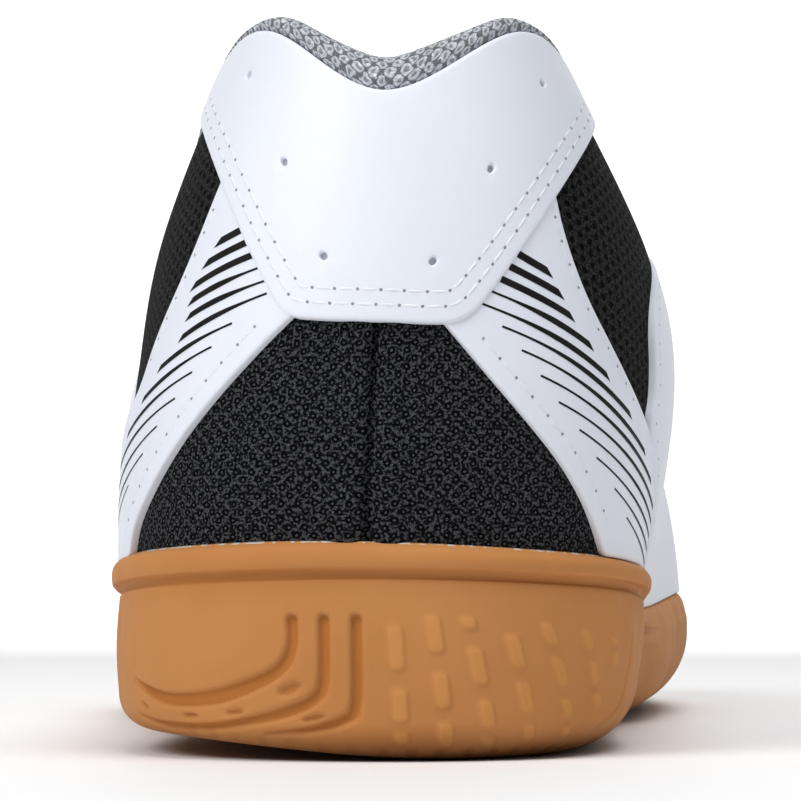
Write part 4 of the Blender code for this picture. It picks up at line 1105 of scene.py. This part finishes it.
# Panels
def rounded(points, roundings):
    """A closed outline with rounded corners, and where each point lies counted in corners."""
    line, counts = [], []
    for i, (corner, rounding) in enumerate(zip(points, roundings)):
        ends = []
        for other in (points[i - 1], points[(i + 1) % len(points)]):
            size = np.linalg.norm(other - corner)
            ends.append(corner + (other - corner) * min(rounding / size, CORNER_SHARE))
        for t in np.linspace(0, 1, CORNER_POINTS):
            line.append(ends[0] * (1 - t) ** 2 + 2 * corner * t * (1 - t) + ends[1] * t**2)
            counts.append(i + (t - 0.5) * CORNER_COUNT)
    return np.array(line), np.array(counts)


def pattern_outline(corners):
    """A panel's outline on its flat pattern, evenly spaced, with the corner count of each point."""
    around, share, roundings = np.array(corners).T
    line, counts = rounded(np.stack([around, share * WALL_SPAN], axis=1), roundings)
    line = np.concatenate([line, line[:1]])
    counts = np.append(counts, len(corners) + counts[0])
    run = running(wrap(line))
    at = np.linspace(0, run[-1], int(run[-1] / PATTERN_STEP), endpoint=False)
    return along_line(at, run, line), np.interp(at, run, counts)


def stretch_of(pattern):
    """How the wall stretches the pattern: the true directions of its two axes."""
    step = 0.05
    right = (wrap(pattern + (step, 0)) - wrap(pattern - (step, 0))) / (2 * step)
    up = (wrap(pattern + (0, step)) - wrap(pattern - (0, step))) / (2 * step)
    return right, up


def inward(outline):
    """For each point of a closed pattern, the step that leads one true millimetre in from its edge."""
    right, up = stretch_of(outline)
    a, b, d = np.sum(right * right, axis=1), np.sum(right * up, axis=1), np.sum(up * up, axis=1)
    run = np.roll(outline, -1, axis=0) - np.roll(outline, 1, axis=0)
    area = np.sum(outline[:, 0] * np.roll(outline[:, 1], -1) - outline[:, 1] * np.roll(outline[:, 0], -1))
    side = np.stack([-run[:, 1], run[:, 0]], axis=1) * np.sign(area)
    step = np.stack([d * side[:, 0] - b * side[:, 1], a * side[:, 1] - b * side[:, 0]], axis=1)
    step /= (a * d - b * b)[:, None]
    return step / np.sqrt(np.sum(side * step, axis=1, keepdims=True))


def is_inside(points, outline):
    x, y = points[:, :1], points[:, 1:]
    x0, y0 = outline.T
    x1, y1 = np.roll(outline, -1, axis=0).T
    slope = (x1 - x0) / np.where(y1 == y0, 1e-12, y1 - y0)
    crossed = ((y0 > y) != (y1 > y)) & (x < slope * (y - y0) + x0)
    return crossed.sum(axis=1) % 2 == 1


def circles(centres, radius, count):
    """True circles on the wall round points of a flat pattern."""
    wide, high = (np.linalg.norm(way, axis=-1, keepdims=True) for way in stretch_of(centres))
    turn = np.linspace(0, 2 * np.pi, count, endpoint=False)
    return centres[:, None] + radius * np.stack([np.cos(turn) / wide, np.sin(turn) / high], axis=-1)


def panel_mesh(outline, thick, holes, radius):
    """Points on the pattern, their lifts and triangles for a panel with rounded edges and round holes."""
    step = inward(outline)
    top = GAP + thick
    rings, lifts = [], []
    for inset, height in EDGE_PROFILE:
        rings.append(outline + step * inset)
        lifts.append(np.full(len(outline), top + height if inset else 0.0))
    for centre in holes:
        for grow, height in HOLE_PROFILE:
            rings.append(circles(centre[None], radius + grow, HOLE_RING)[0])
            lifts.append(np.full(HOLE_RING, top + height))
    wide, high = (np.linalg.norm(way, axis=1).mean() for way in stretch_of(outline))
    low, far = outline.min(axis=0), outline.max(axis=0)
    xs = np.arange(low[0], far[0], PATTERN_GRID / wide)
    ys = np.arange(low[1], far[1], PATTERN_GRID * GRID_ROW / high)
    x, y = np.meshgrid(xs, ys)
    x = x + (np.arange(len(ys)) % 2)[:, None] * PATTERN_GRID / wide / 2
    grid = np.stack([x.ravel(), y.ravel()], axis=1)
    grid = grid[is_inside(grid, outline + step * GRID_INSET)]
    for centre in holes:
        grid = grid[~is_inside(grid, circles(centre[None], radius + HOLE_CLEAR, HOLE_RING)[0])]
    edges, count = [], 0
    for ring in rings:
        number = np.arange(len(ring)) + count
        edges += np.stack([number, np.roll(number, -1)], axis=1).tolist()
        count += len(ring)
    flat = np.concatenate([*rings, grid])
    lift = np.concatenate([*lifts, np.full(len(grid), top)])
    made = delaunay_2d_cdt([Vector(p) for p in flat.tolist()], edges, [], 1, 1e-5)
    new_flat = np.array([tuple(p) for p in made[0]])
    new_lift = np.array([lift[ids[0]] if ids else top for ids in made[3]])
    faces = np.array(made[2])
    for centre in holes:
        hole = circles(centre[None], radius * HOLE_INSIDE, HOLE_RING)[0]
        faces = faces[~is_inside(new_flat[faces].mean(axis=1), hole)]
    return new_flat, new_lift, faces.tolist()


def eyelets():
    """Where the lace goes through the eyestay, on its flat pattern."""
    spots = []
    for side in ("lateral", "medial"):
        for y in np.linspace(*EYELET_SPAN, EYELET_PAIRS):
            u = throat_u(side, y)
            v = 1 - EYELET_IN / edge_span(u)
            foot = lip_v(u)
            spots.append((-u * PERIMETER, (v - foot) / (1 - foot) * WALL_SPAN))
    return np.array(spots)


def add_discs(name, groups, radius, count, material, slot=None):
    """Small discs on the wall in one mesh. groups gives their places on the pattern, and their lift."""
    rings = [wrap(circles(spots, radius, count), lift).reshape(-1, 3) for spots, lift in groups]
    points = np.concatenate(rings)
    add_piece(name, points, np.arange(len(points)).reshape(-1, count).tolist(), [material], slot)


def row_of_stitches(outline, counts, first, last, distance, pitch, lift):
    """Stations along each stitch of a row on a pattern, at a distance from the panel's edge."""
    row = outline + inward(outline) * distance
    order = np.argsort(counts)
    line = row[order[(counts[order] >= first) & (counts[order] <= last)]]
    run = running(wrap(line, lift))
    starts = np.arange(pitch / 2, run[-1] - pitch, pitch)
    return along_line(starts[:, None] + pitch * STATION_SHARE, run, line)


def thread_mesh(stations, lift):
    """Rods of thread along stations, which dip at both ends into the panel."""
    face = wrap(stations, lift)
    normal = wrap(stations, lift + 1.0) - face
    side = np.cross(unit(np.gradient(face, axis=1)), normal)
    turn = np.linspace(0, 2 * np.pi, THREAD_RING, endpoint=False)[:, None]
    ring = np.cos(turn) * side[:, :, None] + np.sin(turn) * normal[:, :, None]
    rings = wrap(stations, lift + STATION_HEIGHT)[:, :, None] + THREAD * STATION_SIZE[:, None, None] * ring
    rod = np.array(grid_faces(len(STATION_SIZE), THREAD_RING, round_columns=True))
    first = np.arange(len(stations)) * len(STATION_SIZE) * THREAD_RING
    return rings.reshape(-1, 3), (first[:, None, None] + rod).reshape(-1, 4).tolist()


def add_panels():
    threads, needles = [], []
    pits = np.array(PERFORATIONS) * (1.0, WALL_SPAN)
    eyelet_spots = eyelets()
    holes = {"heel_panel": (pits, PERFORATION), "eyestay": (eyelet_spots, EYELET)}
    for name, corners in PANELS.items():
        outline, counts = pattern_outline(corners)
        thick = PANEL_THICK[name]
        flat, lift, faces = panel_mesh(outline, thick, *holes.get(name, ((), 0.0)))
        middle = flat[faces[0]].mean(axis=0)
        add_piece(
            "white_" + name, wrap(flat, lift), faces, [LEATHER], "white", [name],
            outside=wrap(middle[None], FAR_OUT)[0],
        )
        for first, last, distances, pitch in STITCH_ROWS[name]:
            for distance in distances:
                stations = row_of_stitches(outline, counts, first, last, distance, pitch, GAP + thick)
                threads.append(thread_mesh(stations, GAP + thick))
                needles.append((stations[:, 0], GAP + thick + NEEDLE_LIFT))
    add_piece("stitches", *join(threads), [STITCH], "white")
    add_discs("needle_holes", needles, NEEDLE_HOLE, NEEDLE_RING, NEEDLE, "white")
    # grey discs in the perforations: painted shade
    add_discs("perforation_floors", [(pits, PIT_FLOOR[1])], PERFORATION + PIT_FLOOR[0], DISC_RING, PIT_PAINTED_SHADE)
    add_discs("eyelet_floors", [(eyelet_spots, EYELET_FLOOR[1])], EYELET + EYELET_FLOOR[0], DISC_RING, DARK)


def add_stripes():
    """Tapered stripes printed on both bands, with oblique outer ends."""
    t = np.linspace(0, 1, STRIPE_POINTS)[:, None]
    strips = []
    for side in ("medial", "lateral"):
        lift = GAP + PANEL_THICK["band_" + side] + PRINT_LIFT
        faces = grid_faces(2, STRIPE_POINTS)
        if side == "lateral":
            faces = [face[::-1] for face in faces]
        for number in range(STRIPE_COUNT):
            ends = []
            for end in ("inner", "outer"):
                numbers, arounds, shares = np.array(STRIPE_ENDS[side + "_" + end]).T
                ends.append((np.interp(number, numbers, arounds), np.interp(number, numbers, shares)))
            first, last = np.array(ends) * (1.0, WALL_SPAN)
            bow = STRIPE_BOW * WALL_SPAN * min(1, abs(last[0] - first[0]) / STRIPE_BOW_RUN)
            line = first + (last - first) * t + (0, bow) * (4 * t * (1 - t))
            wide = STRIPE_WIDTH - STRIPE_NARROWS * number
            thin = wide if number < STRIPE_FULL else STRIPE_THIN
            width = thin + (wide - thin) * fade(t, *STRIPE_SWELL)
            run = unit(np.gradient(line, axis=0))
            up = np.stack([-run[:, 1], run[:, 0]], axis=1) * np.sign(run[:, :1])
            half = (run * STRIPE_CUT * fade(t, *STRIPE_CUT_RUN) - up) * width / 2
            strips.append((wrap(np.concatenate([line + half, line - half]), lift), faces))
    add_piece("band_print", *join(strips), [PRINT], "white")


# Collar, tongue, lace and insole
def edge_span(u):
    """Millimetres of wall for each unit of v at the top edge."""
    return 3 * np.hypot(CURVE["reach"](u), CURVE["drop"](u))


def throat_u(side, y):
    """u where one side of the top edge reaches y along the throat."""
    u = np.linspace(KNOT["eyestay_" + side], KNOT["toe_tip"], THROAT_POINTS)
    return np.interp(y, CURVE["top_y"](u), u)


def add_cuff():
    arounds = spaced((-CUFF_END, CUFF_END, 1.0))
    u = place(arounds)
    full = 1 - (1 - CUFF_THIN) * fade(np.abs(arounds), CUFF_TAPER, CUFF_END)
    roll = 1 - sum(drop * fade(np.abs(arounds), start, end) for drop, start, end in CUFF_DROPS)
    corners = np.array(CUFF_SECTION)
    rings = []
    for i in range(len(corners)):
        near = [corners[(i + k) % len(corners)] for k in (-1, 0, 1, 2)]
        for t in np.linspace(0, 1, CUFF_STEPS, endpoint=False):
            out, up = between(*near, t)
            thin_out = np.where(out < CUFF_BACK, CUFF_BACK + (out - CUFF_BACK) * full, out)
            thin_up = CUFF_EDGE + (up - CUFF_EDGE) * full * np.where(up > CUFF_EDGE, roll, 1.0)
            rings.append(skin(u, 1 + thin_up / edge_span(u), thin_out))
    rings = np.array(rings)
    rows, columns = rings.shape[:2]
    faces = grid_faces(rows, columns, round_rows=True)
    faces += [[r * columns for r in range(rows)], [r * columns + columns - 1 for r in range(rows)][::-1]]
    cuff = add_piece(
        "ring_lined_cuff", rings, faces, [RINGS], "lining", ["collar_cuff"],
        flat=(running(rings[CUFF_MEASURE]), running(rings)),
    )


def through(knots, points, values):
    """The polynomial curve through points at knots."""
    total = 0.0
    for i, knot in enumerate(knots):
        weight = np.ones(np.shape(values))
        for other in np.delete(knots, i):
            weight = weight * (values - other) / (knot - other)
        total = total + weight[..., None] * points[i]
    return total


def tongue_line(y, across):
    """Points across the tongue's face, where the throat's edges reach y."""
    tucked, edge = {}, {}
    for side in ("lateral", "medial"):
        u = throat_u(side, y)
        tucked[side] = skin(u, 1 - TONGUE_TUCK / edge_span(u), -TONGUE_UNDER)
        edge[side] = skin(u, 1.0, -TONGUE_UNDER)
    crown = (edge["lateral"] + edge["medial"]) / 2
    crown[2] += TONGUE_CROWN * fade(y, *TONGUE_CROWN_RUN)
    points = [tucked["lateral"], edge["lateral"], crown, edge["medial"], tucked["medial"]]
    return through(np.array(TONGUE_KNOTS), points, np.asarray(across, float))


def add_tongue():
    across = np.linspace(0, 1, TONGUE_ACROSS)
    half, front_v = TONGUE_FRONT
    front_u = KNOT["toe_tip"] + np.linspace(-half, half, TONGUE_ACROSS)
    rows = [skin(front_u, front_v, -TONGUE_UNDER)]
    rows += [tongue_line(y, across) for y in TONGUE_ROWS]
    last = rows[-1]
    crown = last[TONGUE_ACROSS // 2]
    for back, up, narrow in TONGUE_FREE:
        rows.append(crown + (last - crown) * narrow + (0, -back, up))
    rows = np.array(rows)
    face = smooth_line(rows.reshape(len(rows), -1), TONGUE_STEP).reshape(-1, TONGUE_ACROSS, 3)
    normal = unit(np.cross(np.gradient(face, axis=1), np.gradient(face, axis=0)))
    normal *= np.sign(normal[..., 2:])
    side = 1 - np.abs(2 * across - 1) ** TONGUE_SQUARE
    end = np.sqrt(np.clip(np.arange(len(face))[::-1] / TONGUE_TIP[0], TONGUE_TIP[1], 1))
    depth = TONGUE * np.sqrt(np.clip(side, TONGUE_EDGE, 1)) * end[:, None]
    middle = face - normal * TONGUE / 2
    half = normal * depth[..., None] / 2
    rings = np.concatenate([middle + half, (middle - half)[:, ::-1]], axis=1)
    first = np.concatenate([across, across[::-1]]) * TONGUE_WIDE
    second = running(face[:, TONGUE_ACROSS // 2])[:, None]
    tongue = add_piece(
        "padded_tongue", rings, tube_faces(*rings.shape[:2]), [TONGUE_CLOTH], "tongue", ["tongue"],
        outside=ABOVE, flat=(first, second),
    )


def eyelet_dive(side, y):
    """Points of the lace from inside an eyelet to the throat's edge."""
    u = throat_u(side, y)
    v = 1 - EYELET_IN / edge_span(u)
    return [skin(u, v + away / edge_span(u), lift) for away, lift in LACE_DIVE] + [skin(u, 1.0, LACE_OVER)]


def lace_path(y_from, y_to, from_lateral, over_start, over_end):
    """A run of lace over the tongue, whose ends dive into an eyelet or go under the eyestay's edge."""
    first = LACE_ACROSS[0] if over_start else 1 - LACE_ACROSS[1]
    last = 1 - LACE_ACROSS[0] if over_end else LACE_ACROSS[1]
    high = LACE_OVER + TONGUE_UNDER
    share = np.linspace(0, 1, LACE_POINTS)
    lift = np.interp(share, (0, 1), (high if over_start else LACE_LOW, high if over_end else LACE_LOW))
    lift += LACE_BOW * np.sin(np.pi * share)
    across = first + (last - first) * share
    sides = ("lateral", "medial")
    if not from_lateral:
        across = 1 - across
        sides = sides[::-1]
    path = np.array([tongue_line(y, a) for y, a in zip(y_from + (y_to - y_from) * share, across)])
    path = list(path + lift[:, None] * THROAT_UP)
    if over_start:
        path[:1] = eyelet_dive(sides[0], y_from)
    if over_end:
        path[-1:] = eyelet_dive(sides[1], y_to)[::-1]
    return np.array(path), (over_start, over_end)


def ribbon(path, dives):
    """A flat woven lace along a path, gathered where it dives into an eyelet, and its flat coordinates."""
    path = smooth_line(path, LACE_STEP)
    run = unit(np.gradient(path, axis=0))
    length = running(path)
    wide = np.empty_like(path)
    middle = len(path) // 2
    wide[middle] = np.cross(run[middle], THROAT_UP)
    for order in (range(middle + 1, len(path)), range(middle - 1, -1, -1)):
        for i in order:
            before = wide[i - 1] if i > middle else wide[i + 1]
            wide[i] = before - run[i] * np.dot(before, run[i])
    wide = unit(wide)
    thick = np.cross(wide, run)
    gather = np.ones(len(path))
    for dive, away in zip(dives, (length, length[-1] - length)):
        if dive:
            gather = np.minimum(gather, LACE_GATHER + (1 - LACE_GATHER) * fade(away, *GATHER_RUN))
    turn = np.linspace(0, 2 * np.pi, LACE_RING, endpoint=False)
    across = np.sign(np.cos(turn)) * np.abs(np.cos(turn)) ** LACE_POWERS[0] * LACE_WIDTH / 2
    up = np.sign(np.sin(turn)) * np.abs(np.sin(turn)) ** LACE_POWERS[1] * LACE_THICK / 2
    breadth = gather[:, None] * across
    bulk = up / np.sqrt(gather)[:, None]
    rings = path[:, None] + wide[:, None] * breadth[..., None] + thick[:, None] * bulk[..., None]
    return rings, np.stack(np.broadcast_arrays(across, length[:, None]))


def add_laces():
    rows = np.linspace(*EYELET_SPAN, EYELET_PAIRS)
    runs = {"lace_bar": [lace_path(rows[0], rows[0], True, True, True)]}
    for i, (y_from, y_to) in enumerate(zip(rows[:-1], rows[1:]), start=1):
        pair = [lace_path(y_from, y_to, lateral, i > 1, False) for lateral in (True, False)]
        pair[1][0][:] += LACE_APART * THROAT_UP
        runs[f"lace_cross_{i}"] = pair
    for name, paths in runs.items():
        laces, flats = zip(*(ribbon(path, dives) for path, dives in paths))
        tubes = [(rings.reshape(-1, 3), tube_faces(len(rings), LACE_RING)) for rings in laces]
        add_piece(
            "woven_" + name, *join(tubes), [LACE_CLOTH], "lace", [name], flat=np.concatenate(flats, axis=1),
        )


def add_insole():
    t = np.linspace(0, 1, INSOLE_GRID[0])
    toe = KNOT["toe_tip"]
    sides = []
    for u in (t * toe, 1 - t * (1 - toe)):
        height = CURVE["base_z"](u) + INSOLE
        edge = skin(u, level(u, height), -INSOLE_UNDER)
        edge[:, 2] = height
        sides.append(edge[:, None])
    w = np.linspace(0, 1, INSOLE_GRID[1])
    top = sides[0] * (1 - w)[:, None] + sides[1] * w[:, None]
    top[..., 2] += INSOLE_CUP[0] * np.abs(2 * w - 1) ** INSOLE_CUP[1] - INSOLE_SINK
    skirt = top[:, [0, -1]] - (0, 0, INSOLE_SKIRT)
    sheet = np.concatenate([skirt[:, :1], top, skirt[:, 1:]], axis=1)
    insole = add_piece(
        "cloth_insole", sheet, grid_faces(*sheet.shape[:2]), [FOOTBED], "footbed", ["insole"],
        flat=(sheet[..., 0], sheet[..., 1]),
    )


# Floor, light and camera
def add_floor():
    """A pale floor that sweeps up behind the shoe."""
    turn = np.radians(np.linspace(0, 90, FLOOR_STEPS))
    y = FLOOR_BACK + FLOOR_SWEEP * np.sin(turn)
    z = FLOOR_SWEEP * (1 - np.cos(turn)) - FLOOR_DROP
    profile = [(FLOOR_FRONT, -FLOOR_DROP), *zip(y, z), (FLOOR_BACK + FLOOR_SWEEP, FLOOR_TOP)]
    points = [(x, *spot) for spot in profile for x in (-FLOOR_HALF, FLOOR_HALF)]
    floor = add_mesh("floor", points, grid_faces(len(profile), 2), [FLOOR])


def aim(obj, spot, way):
    """Put a light or the camera at a spot, looking one way."""
    obj.location = spot
    obj.rotation_euler = Vector(way).to_track_quat("-Z", "Y").to_euler()


def add_light(name, spot, target, size, power):
    light = bpy.data.lights.new(name, "AREA")
    light.size = size
    light.energy = power
    aim(add_object(name, light), spot, Vector(target) - Vector(spot))


def add_camera():
    """The photograph's camera, turned so that its axis meets the image's middle."""
    camera = bpy.data.cameras.new("camera")
    camera.sensor_width = SENSOR
    camera.lens = SENSOR * FOCAL / IMAGE
    camera.clip_start, camera.clip_end = CLIP
    obj = add_object("camera", camera)
    way = ((IMAGE / 2 - AXIS_PIXEL[0]) / FOCAL, 1.0, (AXIS_PIXEL[1] - IMAGE / 2) / FOCAL)
    aim(obj, to_world(CAMERA), way)
    bpy.context.scene.camera = obj


def add_world():
    world = bpy.data.worlds.new("studio")
    world.use_nodes = True
    background = world.node_tree.nodes["Background"]
    background.inputs["Color"].default_value = (1.0, 1.0, 1.0, 1.0)
    background.inputs["Strength"].default_value = AMBIENT
    bpy.context.scene.world = world
    bpy.context.scene.view_settings.view_transform = "Standard"


def main():
    add_camera()
    add_outsole()
    add_upper()
    add_panels()
    add_stripes()
    add_cuff()
    add_tongue()
    add_laces()
    add_insole()
    add_floor()
    add_world()
    for name, values in LIGHTS.items():
        add_light(name, *values)


main()
